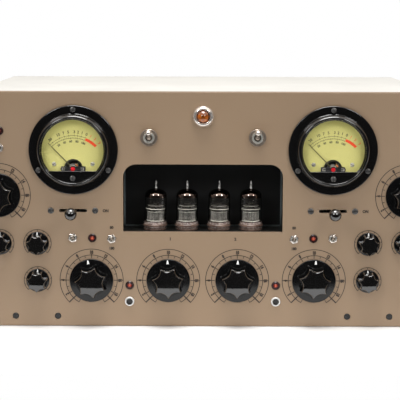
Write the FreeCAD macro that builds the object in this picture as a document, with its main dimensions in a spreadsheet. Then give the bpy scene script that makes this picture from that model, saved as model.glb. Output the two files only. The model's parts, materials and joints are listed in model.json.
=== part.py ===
import FreeCAD, Part
import os
import re
import Sketcher
from FreeCAD import Vector

# A five-unit rack compressor with a window onto four valves, two moving-coil
# meters, twelve fluted knobs, two lever keys, eight toggles and two buttons.
# X runs across the panel, Y from the front to the back, and Z up.
# Y = 0 is the panel's rear face, which lies against the rack, and Z = 0 the underside.
# Pieces that stand on the panel are drawn lying down: x across, y up the panel
# and z out of its front face.  Lengths are in millimetres, angles in degrees.

dimensions = {
    # rack panel
    "rack_unit": 44.45, "rack_units": 5, "panel_gap": 0.75,
    "panel_wide": 482.6, "panel_thick": 4, "panel_edge": 1.2,
    "rack_slot_across": 465.1, "rack_slot_apart": 146.05,
    "rack_slot_long": 10.3, "rack_slot_high": 7.1,
    # case
    "case_wide": 430, "case_deep": 300, "case_below_panel_top": 1,
    "side_thick": 2, "sheet_thick": 1.5, "flange_wide": 14,
    "screw_head_radius": 2.9, "screw_head_high": 1.2, "screw_radius": 1.5,
    "screw_long": 5, "hole_clearance": 0.2,
    "foot_screw_up": 9.6, "foot_screw_inner": 136.5, "foot_screw_outer": 176.3,
    "vent_long": 60, "vent_high": 3.2, "vent_pitch": 9, "vents": 7,
    # window and valve bay
    "window_wide": 149.2, "window_high": 63.6, "window_sill": 90.2, "window_corner": 12.3,
    "bay_deep": 46, "bay_wall": 1.2, "bay_margin": 1.4, "bay_flange": 4,
    # valves
    "valve_pitch": 30.4, "valve_back": 20, "bulb_radius": 10.35, "glass_thick": 0.9,
    "bulb_shoulder": 31.2, "bulb_top": 38.9, "bulb_tip": 47, "tip_radius": 1.1,
    "bulb_foot_round": 1, "tip_root_high": 2, "tip_end_round": 0.6, "glass_foot_gap": 0.1,
    "socket_radius": 11.8, "socket_ring_high": 8.2, "socket_stem_radius": 9.3,
    "socket_stem_long": 10, "socket_floor": 2.4, "socket_foot_high": 1.4, "socket_waist_in": 0.7,
    "socket_lip_high": 2.8, "socket_chamfer": 0.8, "socket_bore_gap": 0.3,
    "mica_thick": 0.3, "mica_radius": 9.2, "lower_mica_up": 8.8,
    "anode_high": 9.7, "anode_wide": 7.4, "anode_deep": 6.4, "shield_radius": 7.6,
    "mica_gap": 2.3, "post_radius": 0.5, "getter_radius": 3.2, "getter_up": 4.5,
    # meters
    "meter_across": 120.5, "meter_top_margin": 12.8, "meter_flange_radius": 41.5,
    "meter_flange_thick": 3.5, "meter_rim_radius": 33.6, "meter_rim_high": 12.5,
    "meter_window_radius": 28.6, "meter_bore_radius": 30.7, "meter_lip_back": 8.2,
    "mask_drop": 18.9, "mask_thick": 2, "meter_glass_thick": 1.5,
    "flange_round": 1.4, "rim_foot": 1, "rim_draft": 0.8, "rim_round": 2, "window_round": 1.4,
    "meter_screw_radius": 37.5, "meter_screw_head": 2.5,
    "can_radius": 34.4, "can_wall": 1.6, "can_deep": 36,
    "dial_thick": 0.8, "dial_forward": 1, "dial_drop": 22, "movement_hole_radius": 8.8,
    "pivot_drop": 17.2, "needle_long": 33, "needle_rest": 44.3, "needle_forward": 3,
    "needle_thick": 0.4, "needle_root": 1.1, "needle_end": 0.5,
    "coil_radius": 5.3, "coil_wire": 0.8, "coil_wide": 1.6, "coil_deep": 11,
    "coil_room": 0.4, "needle_hub_radius": 1.5, "core_radius": 4.4, "core_arm_wide": 2.4, "pole_gap": 1,
    "magnet_radius": 14, "yoke_wide": 28, "yoke_high": 22, "yoke_behind_flange": 0.3,
    "yoke_behind_coil": 4, "yoke_plate_thick": 2, "yoke_plate_margin": 4, "pillar_share": 0.9,
    "bridge_wide": 22.7, "bridge_high": 4, "bridge_thick": 1.6, "bridge_forward": 4.7,
    "bridge_post_radius": 1, "pivot_screw_radius": 1.75, "pivot_screw_edge": 0.1, "pivot_screw_high": 0.25,
    "dial_screw_edge": 0.5, "dial_screw_high": 0.9,
    "dial_screw_across": 17.9, "dial_screw_drop": 13, "dial_screw_head": 1.9,
    "zero_drop": 25.5, "zero_head_radius": 2.5, "zero_stem_radius": 1.2, "running_fit": 0.06,
    "zero_head_edge": 0.8, "zero_head_high": 1.2, "zero_slot_wide": 0.8, "zero_slot_deep": 0.7,
    # large knobs
    "inner_knob_across": 32.4, "gain_knob_across": 104.5, "low_knob_up": 44,
    "outer_knob_inset": 50.6, "outer_knob_up": 124.5,
    "knob_skirt_radius": 20.5, "knob_skirt_edge": 1.4, "knob_skirt_slope": 2,
    "knob_tip_radius": 15, "knob_high": 16, "knob_dome": 1.8, "knob_gap": 0.6,
    "knob_flutes": 7, "knob_flute_radius": 8.6, "knob_waist": 11.3, "knob_corner": 0.3,
    "knob_top_wall": 2,
    # small knobs
    "small_knob_across": 155, "small_knob_upper": 79.2, "small_knob_lower": 43.9,
    "edge_knob_inset": 51.4, "small_skirt_radius": 10.5, "small_skirt_edge": 1.6,
    "small_skirt_slope": 0.8, "small_tip_radius": 8.6, "small_knob_high": 14,
    "small_dome": 1.2, "small_flute_radius": 4.6, "small_waist": 6.7,
    # potentiometers
    "shaft_radius": 3, "bush_radius": 4.2, "bush_forward": 3.2, "pot_nut_radius": 5.2,
    "pot_nut_high": 2.2, "nut_room": 0.4, "pot_radius": 12, "pot_deep": 14,
    "small_pot_radius": 8.2, "shaft_grip": 8, "shaft_end_gap": 1,
    # lever keys
    "lever_across": 121.4, "lever_below_meter": 15.6, "lever_slot_long": 26.2, "lever_slot_high": 3.2,
    "lever_pivot_back": 27, "lever_ball_forward": 24, "lever_ball_radius": 5.8,
    "lever_rod_radius": 1.3, "lever_hub_radius": 3.4, "lever_hub_long": 12,
    "lever_pin_radius": 1.5, "lever_screw_apart": 41.4, "lever_frame_wide": 16,
    "lever_frame_thick": 1.2, "lever_cheek_gap": 0.3, "contact_wide": 5, "contact_inset": 12.5,
    "contact_deep": 24, "contact_high": 9,
    # toggles
    "main_toggle_across": 50.3, "main_toggle_up": 179, "main_nut_radius": 8.15,
    "main_nut_high": 3.4, "main_nut_edge": 0.8, "main_nut_slope": 1.2, "main_bush_radius": 5.3, "main_bush_high": 4.8,
    "main_bore_radius": 3.4, "main_pivot_up": 1.5, "main_ball_radius": 3.1,
    "main_neck_radius": 1.5, "main_bat_long": 17.5, "main_bat_radius": 2.7,
    "main_body_wide": 15, "main_body_high": 26, "main_body_deep": 18, "toggle_tilt": 22,
    "mini_filter_across": 121.75, "mini_filter_up": 84.6, "mini_pad_across": 85.4,
    "mini_pad_up": 83.8, "mini_edge_inset": 51.9, "mini_edge_up": 168.9,
    "mini_nut_radius": 4.4, "mini_nut_high": 2, "mini_bush_radius": 3, "mini_bush_high": 3.8,
    "mini_bore_radius": 2.3, "mini_pivot_up": 1.2, "mini_ball_radius": 2,
    "mini_neck_radius": 0.8, "mini_bat_long": 11, "mini_bat_radius": 1.3,
    "mini_body_wide": 7, "mini_body_high": 13, "mini_body_deep": 9,
    # push buttons
    "button_across": 68.8, "button_up": 24, "button_radius": 2.8, "button_forward": 3.2,
    "button_travel": 2, "button_round": 0.4, "button_ring_radius": 4.25, "button_ring_high": 2,
    "button_ring_edge": 0.5, "button_bush_drop": 0.4, "button_end_wall": 1,
    "button_bush_radius": 3.4, "button_body_radius": 5.5, "button_body_deep": 14,
    # indicators and jewel lamp
    "lamp_inner_across": 103.55, "lamp_inner_up": 84.3, "lamp_low_across": 68.7,
    "lamp_low_up": 39.4, "lamp_edge_inset": 52.2, "lamp_edge_up": 184.7,
    "lamp_bezel_radius": 4, "lamp_bezel_high": 1.8, "lamp_lens_radius": 2,
    "lamp_bezel_edge": 0.6, "lamp_stem_radius": 2.9, "lamp_stem_back": 7, "lamp_lens_high": 2.4,
    "lamp_lens_edge": 1,
    "jewel_up": 198.6, "jewel_bezel_radius": 9.5, "jewel_bezel_high": 6,
    "jewel_bezel_edge": 1.4, "jewel_bezel_slope": 1, "jewel_bezel_lip": 1.2, "jewel_bezel_drop": 0.4,
    "jewel_stem_radius": 7.4, "jewel_stem_long": 12, "jewel_radius": 5.7, "jewel_high": 8.6,
    "jewel_facets": 8, "jewel_taper": 35, "lamp_holder_long": 18,
    # transformers and board
    "power_across": 130, "power_back": 150, "power_wide": 90, "power_high": 76,
    "stack_thick": 36, "coil_bell_deep": 22, "bell_corner": 8, "power_foot": 9,
    "output_left": -150, "output_pitch": 75, "outputs": 2, "output_back": 232,
    "power_foot_overlap": 1, "output_radius": 24, "output_high": 54, "output_lid": 2,
    "board_left": -190, "board_right": 40, "board_front": 72, "board_rear": 188,
    "board_thick": 1.6, "board_up": 11.5, "pillar_radius": 3, "pillar_inset": 8,
    "capacitor_radius": 12.5, "capacitor_high": 38, "capacitor_pitch": 34, "capacitors": 5,
    "capacitor_left": -165, "capacitor_back": 105, "capacitor_round": 1,
    # rear connectors
    "inlet_across": 150, "inlet_up": 60, "inlet_wide": 27, "inlet_high": 20,
    "inlet_deep": 24, "inlet_cup_wide": 24, "inlet_cup_high": 16, "inlet_cup_deep": 16,
    "inlet_flange_wide": 48, "inlet_flange_high": 28, "inlet_flange_thick": 2.5,
    "inlet_pin_wide": 2, "inlet_pin_high": 4, "inlet_pin_apart": 14, "inlet_pin_rise": 3,
    "inlet_pin_inset": 2,
    "line_up": 130, "line_first": -170, "line_pitch": 38, "line_flange_wide": 26,
    "line_flange_high": 31, "line_flange_thick": 2, "line_body_radius": 11.5,
    "line_body_deep": 24, "line_cup_radius": 8.2, "line_cup_deep": 13,
    "line_pin_radius": 1.2, "line_pin_circle": 3.9, "line_pin_long": 8,
    "line_plug_radius": 7.4, "line_plug_deep": 3,
}

document = FreeCAD.newDocument("RackCompressor")
sheet = document.addObject("Spreadsheet::Sheet", "Sizes")
for row, (word, size) in enumerate(dimensions.items(), start=1):
    sheet.set(f"A{row}", word)
    sheet.set(f"B{row}", str(size))
    sheet.setAlias(f"B{row}", word)
document.recompute()

names = re.compile(r"\b(" + "|".join(sorted(dimensions, key=len, reverse=True)) + r")\b")
subParts = []
cuts = []


def bound(text):
    """The expression with each dimension named as a cell of the sheet."""
    return names.sub(r"Sizes.\1", str(text))


def value(text):
    """The number that an expression gives now."""
    return float(sheet.evalExpression(bound(text)))


def piece(label):
    """A body with no place of its own."""
    body = document.addObject("PartDesign::Body", label)
    body.Label = label
    return body


def drawing(body, plane, level="0"):
    """A sketch on one of the body's own planes, raised along the plane's normal."""
    sketch = body.newObject("Sketcher::SketchObject", "Profile")
    support = [each for each in body.Origin.OriginFeatures if each.Role == plane][0]
    sketch.AttachmentSupport = [(support, "")]
    sketch.MapMode = "FlatFace"
    sketch.setExpression(".AttachmentOffset.Base.z", bound(level))
    return sketch


def fix(sketch, kind, geometry, size):
    """Dimension a sketch by an expression on the sheet."""
    index = sketch.addConstraint(Sketcher.Constraint(kind, *geometry, value(size)))
    sketch.setExpression(f"Constraints[{index}]", bound(size))


def circle(sketch, across, up, radius):
    centre = Vector(value(across), value(up), 0)
    ring = sketch.addGeometry(Part.Circle(centre, Vector(0, 0, 1), value(radius)))
    fix(sketch, "Radius", (ring,), radius)
    fix(sketch, "DistanceX", (-1, 1, ring, 3), across)
    fix(sketch, "DistanceY", (-1, 1, ring, 3), up)


def outline(sketch, corners):
    """A closed outline.  A corner's third entry is the radius of the arc that leaves it,
    positive where the arc turns left."""
    points = [Vector(value(corner[0]), value(corner[1]), 0) for corner in corners]
    ends = []
    for index, corner in enumerate(corners):
        start = points[index]
        stop = points[(index + 1) % len(points)]
        if len(corner) == 2:
            edge = sketch.addGeometry(Part.LineSegment(start, stop))
            ends.append((edge, 1, 2))
            continue
        radius = value(corner[2])
        chord = stop - start
        left = Vector(-chord.y, chord.x, 0).normalize()
        offset = max(radius * radius - chord.Length ** 2 / 4, 0) ** 0.5
        middle = (start + stop) * 0.5
        centre = middle + left * (offset if radius > 0 else -offset)
        first, last = (start, stop) if radius > 0 else (stop, start)
        first_angle = Vector(1, 0, 0).getAngle(first - centre)
        last_angle = Vector(1, 0, 0).getAngle(last - centre)
        if (first - centre).y < 0:
            first_angle = -first_angle
        if (last - centre).y < 0:
            last_angle = -last_angle
        arc = Part.ArcOfCircle(Part.Circle(centre, Vector(0, 0, 1), abs(radius)), first_angle, last_angle)
        edge = sketch.addGeometry(arc)
        fix(sketch, "Radius", (edge,), f"abs({corner[2]})")
        ends.append((edge, 1, 2) if radius > 0 else (edge, 2, 1))
    for index, corner in enumerate(corners):
        edge, start, stop = ends[index]
        following = ends[(index + 1) % len(ends)]
        sketch.addConstraint(Sketcher.Constraint("Coincident", edge, stop, following[0], following[1]))
        fix(sketch, "DistanceX", (-1, 1, edge, start), corner[0])
        fix(sketch, "DistanceY", (-1, 1, edge, start), corner[1])


def rectangle(sketch, left, bottom, right, top):
    outline(sketch, [(left, bottom), (right, bottom), (right, top), (left, top)])


def block(sketch, across, up, wide, high):
    """A rectangle about its centre."""
    rectangle(sketch, f"{across} - ({wide}) / 2", f"{up} - ({high}) / 2",
              f"{across} + ({wide}) / 2", f"{up} + ({high}) / 2")


def slot(sketch, across, up, long, high):
    """A straight slot with half-round ends."""
    reach = f"(({long}) - ({high})) / 2"
    radius = value(high) / 2
    left = Vector(value(f"{across} - {reach}"), value(up), 0)
    right = Vector(value(f"{across} + {reach}"), value(up), 0)
    rise = Vector(0, radius, 0)
    quarter = 1.5707963267948966
    near = sketch.addGeometry(Part.ArcOfCircle(Part.Circle(left, Vector(0, 0, 1), radius), quarter, 3 * quarter))
    lower = sketch.addGeometry(Part.LineSegment(left - rise, right - rise))
    far = sketch.addGeometry(Part.ArcOfCircle(Part.Circle(right, Vector(0, 0, 1), radius), -quarter, quarter))
    upper = sketch.addGeometry(Part.LineSegment(right + rise, left + rise))
    for first, end, second, start in ((near, 2, lower, 1), (lower, 2, far, 1), (far, 2, upper, 1), (upper, 2, near, 1)):
        sketch.addConstraint(Sketcher.Constraint("Tangent", first, end, second, start))
    fix(sketch, "Radius", (near,), f"({high}) / 2")
    sketch.addConstraint(Sketcher.Constraint("Equal", near, far))
    for arc, sign in ((near, "-"), (far, "+")):
        fix(sketch, "DistanceX", (-1, 1, arc, 3), f"{across} {sign} {reach}")
        fix(sketch, "DistanceY", (-1, 1, arc, 3), up)


def pad(body, sketch, length, reverse=False, middle=False):
    feature = body.newObject("PartDesign::Pad", "Pad")
    feature.Profile = sketch
    feature.setExpression("Length", bound(length))
    feature.Reversed = reverse
    if middle:
        feature.SideType = "Symmetric"
    return feature


def pocket(body, sketch, length="", reverse=False):
    """A pocket of a given depth, or right through both ways where none is given."""
    before = body.Tip
    feature = body.newObject("PartDesign::Pocket", "Pocket")
    feature.Profile = sketch
    feature.Reversed = reverse
    if length:
        feature.setExpression("Length", bound(length))
    else:
        feature.Type = "ThroughAll"
        feature.SideType = "Symmetric"
    cuts.append((before, feature))
    return feature


def revolve(body, sketch):
    feature = body.newObject("PartDesign::Revolution", "Revolution")
    feature.Profile = sketch
    feature.ReferenceAxis = (sketch, ["V_Axis"])
    return feature


def groove(body, sketch):
    before = body.Tip
    feature = body.newObject("PartDesign::Groove", "Groove")
    feature.Profile = sketch
    feature.ReferenceAxis = (sketch, ["V_Axis"])
    cuts.append((before, feature))
    return feature


def polar(body, feature, sketch, count):
    """Copies of a feature about the sketch's normal."""
    pattern = body.newObject("PartDesign::PolarPattern", "PolarPattern")
    pattern.Originals = [feature]
    pattern.Axis = (sketch, ["N_Axis"])
    pattern.Angle = 360
    pattern.setExpression("Occurrences", bound(count))
    body.Tip = pattern
    return pattern


def turned(label, profile):
    """A body turned about its z axis from a profile of radius and height."""
    body = piece(label)
    sketch = drawing(body, "XZ_Plane")
    outline(sketch, profile)
    revolve(body, sketch)
    return body


def tube(label, outer, inner, bottom, top):
    return turned(label, [(inner, bottom), (outer, bottom), (outer, top), (inner, top)])


def rod(label, radius, bottom, top):
    return turned(label, [("0", bottom), (radius, bottom), (radius, top), ("0", top)])


def standing(across, back, up):
    """A place for a piece that stands with its z axis up."""
    return f"create(<<placement>>; create(<<vector>>; {across}; {back}; {up}); create(<<rotation>>; 0; 0; 0))"


def turning(axis, angle):
    return f"create(<<rotation>>; create(<<vector>>; {axis}); {angle})"


def facing(across, up, turn="0", forward="0", lean="0"):
    """A place on the panel's front face, turned anticlockwise as seen from the front, leaning up."""
    place = f"create(<<vector>>; {across}; -(panel_thick) - ({forward}); {up})"
    lying = turning("1; 0; 0", f"90 - ({lean})")
    return f"create(<<placement>>; {place}; {lying} * {turning('0; 0; 1', turn)})"


def rearward(across, up):
    """A place on the rear panel's outer face, z axis out of the back."""
    place = f"create(<<vector>>; {across}; case_deep; {up})"
    return f"create(<<placement>>; {place}; {turning('0; 0; 1', '180')} * {turning('1; 0; 0', '90')})"


def sideways(side, back, up):
    """A place on a side panel's outer face, z axis out of the side."""
    place = f"create(<<vector>>; {side} * case_wide / 2; {back}; {up})"
    return f"create(<<placement>>; {place}; {turning('0; 1; 0', 90 * side)})"


def keep(label, thing):
    thing.Label = label
    subParts.append(thing)
    return thing


def node(label, pieces, place):
    """One sub-part made of separate solids that share a place."""
    compound = document.addObject("Part::Compound", label)
    compound.Links = pieces
    compound.setExpression("Placement", bound(place))
    return keep(label, compound)


def group(label, sets):
    """One sub-part that holds the same pieces at many places: a list of pieces and places."""
    links = []
    for pieces, places in sets:
        for place in places:
            for each in pieces:
                link = document.addObject("App::Link", "Copy")
                link.LinkedObject = each
                link.setExpression("Placement", bound(place))
                links.append(link)
    compound = document.addObject("Part::Compound", label)
    compound.Links = links
    return keep(label, compound)


def mirrored(pairs):
    """Each place given as across and up, on the left and on the right."""
    return [(f"{side} * ({across})", up) for across, up in pairs for side in (-1, 1)]


panelHigh = "(rack_unit * rack_units - panel_gap)"
caseTop = f"({panelHigh} - case_below_panel_top)"
caseHalf = "(case_wide / 2)"
innerHalf = "(case_wide / 2 - side_thick)"
innerTop = f"({caseTop} - sheet_thick)"
behind = "(-panel_thick)"
bayFloor = "(window_sill - bay_margin)"
meterUp = f"({panelHigh} - meter_top_margin - meter_flange_radius)"
leverUp = f"({meterUp} - meter_flange_radius - lever_below_meter)"


def fromEdge(inset):
    """Across the panel at a distance in from its end."""
    return f"(panel_wide / 2 - {inset})"



largeKnobs = mirrored([("inner_knob_across", "low_knob_up"), ("gain_knob_across", "low_knob_up"),
                       (fromEdge("outer_knob_inset"), "outer_knob_up")])
smallKnobs = mirrored([("small_knob_across", "small_knob_upper"), ("small_knob_across", "small_knob_lower"),
                       (fromEdge("edge_knob_inset"), "small_knob_upper")])
mainToggles = mirrored([("main_toggle_across", "main_toggle_up")])
miniToggles = mirrored([("mini_filter_across", "mini_filter_up"), ("mini_pad_across", "mini_pad_up"),
                        (fromEdge("mini_edge_inset"), "mini_edge_up")])
buttons = mirrored([("button_across", "button_up")])
lamps = mirrored([("lamp_inner_across", "lamp_inner_up"), ("lamp_low_across", "lamp_low_up"),
                  (fromEdge("lamp_edge_inset"), "lamp_edge_up")])
meters = mirrored([("meter_across", meterUp)])
levers = mirrored([("lever_across", leverUp)])
footScrews = mirrored([("foot_screw_inner", "foot_screw_up"), ("foot_screw_outer", "foot_screw_up")])
meterScrewAngles = (90, 210, 330)
meterScrews = [(f"{across} + meter_screw_radius * cos({angle})", f"{up} + meter_screw_radius * sin({angle})")
               for across, up in meters for angle in meterScrewAngles]
leverScrews = [(f"{across} + {side} * lever_screw_apart / 2", up) for across, up in levers for side in (-1, 1)]
casePlacesBack = ("flange_wide * 2", "case_deep / 2", "case_deep - flange_wide * 2")
rearPlacesUp = ("flange_wide * 2", f"{caseTop} / 2", f"{caseTop} - flange_wide * 2")
rearScrewAcross = f"({innerHalf} - flange_wide / 2)"
sideScrewLow = "(sheet_thick + flange_wide / 2)"
sideScrewHigh = f"({innerTop} - flange_wide / 2)"
lineAcross = [f"line_first + {index} * line_pitch" for index in range(4)]
lineInputs = lineAcross[:2]
lineOutputs = lineAcross[2:]
screwHole = "screw_radius + hole_clearance"


def frontPanel():
    body = piece("front_panel")
    plate = drawing(body, "XZ_Plane")
    rectangle(plate, "-panel_wide / 2", "0", "panel_wide / 2", panelHigh)
    pad(body, plate, "panel_thick")
    window = drawing(body, "XZ_Plane")
    half = "window_wide / 2"
    top = "(window_sill + window_high)"
    outline(window, [(f"-{half}", "window_sill"), (half, "window_sill"),
                     (half, f"{top} - window_corner", "window_corner"), (f"{half} - window_corner", top),
                     (f"-{half} + window_corner", top, "window_corner"), (f"-{half}", f"{top} - window_corner")])
    pocket(body, window)
    holes = drawing(body, "XZ_Plane")
    families = ((largeKnobs + smallKnobs, "bush_radius"), (mainToggles, "main_bush_radius"),
                (miniToggles, "mini_bush_radius"), (buttons, "button_bush_radius"),
                (lamps, "lamp_stem_radius"), (meters, "can_radius"), ([("0", "jewel_up")], "jewel_stem_radius"),
                (meterScrews + leverScrews + footScrews, "screw_radius"))
    for places, radius in families:
        for across, up in places:
            circle(holes, across, up, f"{radius} + hole_clearance")
    pocket(body, holes)
    slots = drawing(body, "XZ_Plane")
    for side in (-1, 1):
        for level in (-1, 1):
            slot(slots, f"{side} * rack_slot_across / 2", f"{panelHigh} / 2 + {level} * rack_slot_apart / 2",
                 "rack_slot_long", "rack_slot_high")
        slot(slots, f"{side} * lever_across", leverUp, "lever_slot_long", "lever_slot_high")
    pocket(body, slots)
    recesses = drawing(body, "XZ_Plane", "panel_thick")
    for across, up in footScrews:
        circle(recesses, across, up, "screw_head_radius + hole_clearance")
    pocket(body, recesses, "screw_head_high")
    document.recompute()
    front = -value("panel_thick")
    limits = (-value("panel_wide") / 2, value("panel_wide") / 2, 0, value(panelHigh))
    rim = []
    for number, edge in enumerate(body.Tip.Shape.Edges, start=1):
        box = edge.BoundBox
        flat = abs(box.YMin - front) < 1e-6 and box.YLength < 1e-6
        onSide = box.XLength < 1e-6 and min(abs(box.XMin - limits[0]), abs(box.XMin - limits[1])) < 1e-6
        onEnd = box.ZLength < 1e-6 and min(abs(box.ZMin - limits[2]), abs(box.ZMin - limits[3])) < 1e-6
        if flat and (onSide or onEnd):
            rim.append(f"Edge{number}")
    plate = body.Tip
    rounding = body.newObject("PartDesign::Fillet", "FrontEdge")
    rounding.Base = (plate, rim)
    rounding.setExpression("Radius", bound("panel_edge"))
    return keep("front_panel", body)


def chassisBase():
    """Floor with flanges turned up against the panel and the sides."""
    body = piece("chassis_base")
    floor = drawing(body, "XY_Plane")
    rectangle(floor, f"-{innerHalf}", "0", innerHalf, "case_deep")
    pad(body, floor, "sheet_thick")
    front = drawing(body, "XZ_Plane")
    rectangle(front, f"-{innerHalf}", "0", innerHalf, "sheet_thick + flange_wide")
    for across, up in footScrews:
        circle(front, across, up, screwHole)
    pad(body, front, "sheet_thick", reverse=True)
    for side in (-1, 1):
        turnedUp = drawing(body, "YZ_Plane", f"{side} * {innerHalf}")
        rectangle(turnedUp, "0", "0", "case_deep - sheet_thick - flange_wide", "sheet_thick + flange_wide")
        for back in casePlacesBack[:2]:
            circle(turnedUp, back, sideScrewLow, screwHole)
        pad(body, turnedUp, "sheet_thick", reverse=side > 0)
    return keep("chassis_base", body)


def sidePanel(label, side):
    """Upright sheet with vents, and a flange turned in at the back."""
    body = piece(label)
    wall = drawing(body, "YZ_Plane", f"{side} * {innerHalf}")
    rectangle(wall, "0", "0", "case_deep", innerTop)
    for back in casePlacesBack:
        circle(wall, back, sideScrewHigh, screwHole)
    for back in casePlacesBack[:2]:
        circle(wall, back, sideScrewLow, screwHole)
    for row in range(int(dimensions["vents"])):
        up = f"{caseTop} / 2 + ({row} - (vents - 1) / 2) * vent_pitch"
        slot(wall, "case_deep * 0.55", up, "vent_long", "vent_high")
    pad(body, wall, "side_thick", reverse=side < 0)
    flange = drawing(body, "XZ_Plane", "-(case_deep - sheet_thick)")
    edges = sorted((f"{side} * {innerHalf}", f"{side} * ({innerHalf} - flange_wide)"), key=value)
    rectangle(flange, edges[0], "sheet_thick", edges[1], innerTop)
    for up in rearPlacesUp:
        circle(flange, f"{side} * {rearScrewAcross}", up, screwHole)
    pad(body, flange, "sheet_thick")
    return keep(label, body)


def topCover():
    """Lid that lies on the sides, with flanges turned down inside them."""
    body = piece("top_cover")
    lid = drawing(body, "XY_Plane", innerTop)
    rectangle(lid, f"-{caseHalf}", "0", caseHalf, "case_deep")
    pad(body, lid, "sheet_thick")
    for side in (-1, 1):
        flange = drawing(body, "YZ_Plane", f"{side} * {innerHalf}")
        rectangle(flange, "sheet_thick", f"{innerTop} - flange_wide", "case_deep - sheet_thick * 3", innerTop)
        for back in casePlacesBack:
            circle(flange, back, sideScrewHigh, screwHole)
        pad(body, flange, "sheet_thick", reverse=side > 0)
    return keep("top_cover", body)


def rearPanel():
    body = piece("rear_panel")
    wall = drawing(body, "XZ_Plane", "-case_deep")
    rectangle(wall, f"-{innerHalf}", "sheet_thick", innerHalf, innerTop)
    block(wall, "inlet_across", "inlet_up", "inlet_wide + 2 * hole_clearance", "inlet_high + 2 * hole_clearance")
    for across in lineAcross:
        circle(wall, across, "line_up", "line_body_radius + hole_clearance")
    for side in (-1, 1):
        for up in rearPlacesUp:
            circle(wall, f"{side} * {rearScrewAcross}", up, screwHole)
    for row in range(int(dimensions["vents"])):
        up = f"line_up + ({row} - (vents - 1) / 2) * vent_pitch"
        slot(wall, "inlet_across - vent_long / 2", up, "vent_long", "vent_high")
    pad(body, wall, "sheet_thick")
    return keep("rear_panel", body)


def screw(label, headRadius, length):
    """Slotted pan-head screw whose head stands on z = 0."""
    body = turned(label, [("0", f"-({length})"), ("screw_radius", f"-({length})"), ("screw_radius", "0"),
                          (headRadius, "0"), (headRadius, "screw_head_high * 0.6"),
                          (f"{headRadius} * 0.8", "screw_head_high"), ("0", "screw_head_high")])
    cut = drawing(body, "XY_Plane", "screw_head_high")
    block(cut, "0", "0", f"{headRadius} * 2.2", "screw_radius * 0.4")
    pocket(body, cut, "screw_head_high / 2")
    return body


def screws():
    caseScrew = screw("case_screw", "screw_head_radius", "screw_long")
    panelScrew = screw("panel_screw", "screw_head_radius", "panel_thick + screw_long")
    meterScrew = screw("meter_screw", "meter_screw_head", "meter_flange_thick + panel_thick + screw_long")
    sides = [sideways(side, back, sideScrewHigh) for side in (-1, 1) for back in casePlacesBack]
    sides += [sideways(side, back, sideScrewLow) for side in (-1, 1) for back in casePlacesBack[:2]]
    rears = [rearward(f"{side} * {rearScrewAcross}", up) for side in (-1, 1) for up in rearPlacesUp]
    feet = [facing(across, up, forward="-screw_head_high") for across, up in footScrews]
    group("case_screws", [([caseScrew], sides + rears), ([panelScrew], feet)])
    ons = [facing(across, up, forward="meter_flange_thick") for across, up in meterScrews]
    group("fixing_screws", [([meterScrew], ons), ([panelScrew], [facing(*place) for place in leverScrews])])


def valveBay():
    """Black box behind the window, open to the front, with four socket holes in its floor."""
    body = piece("valve_bay")
    half = "(window_wide / 2 + bay_margin)"
    floor = bayFloor
    top = "(window_sill + window_high + bay_margin)"
    deep = "(bay_deep - panel_thick)"
    walls = drawing(body, "XZ_Plane")
    rectangle(walls, f"-{half} - bay_wall", f"{floor} - bay_wall", f"{half} + bay_wall", f"{top} + bay_wall")
    rectangle(walls, f"-{half}", floor, half, top)
    pad(body, walls, deep, reverse=True)
    back = drawing(body, "XZ_Plane", f"-{deep}")
    rectangle(back, f"-{half} - bay_wall", f"{floor} - bay_wall", f"{half} + bay_wall", f"{top} + bay_wall")
    pad(body, back, "bay_wall", reverse=True)
    flange = drawing(body, "XZ_Plane")
    rectangle(flange, f"-{half} - bay_flange", f"{floor} - bay_flange", f"{half} + bay_flange", f"{top} + bay_flange")
    rectangle(flange, f"-{half}", floor, half, top)
    pad(body, flange, "bay_wall", reverse=True)
    holes = drawing(body, "XY_Plane", f"{floor} + bay_wall")
    for place in (-1.5, -0.5, 0.5, 1.5):
        circle(holes, f"{place} * valve_pitch", "valve_back", "socket_stem_radius + hole_clearance")
    pocket(body, holes, "bay_wall * 3")
    return keep("valve_bay", body)


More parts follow.
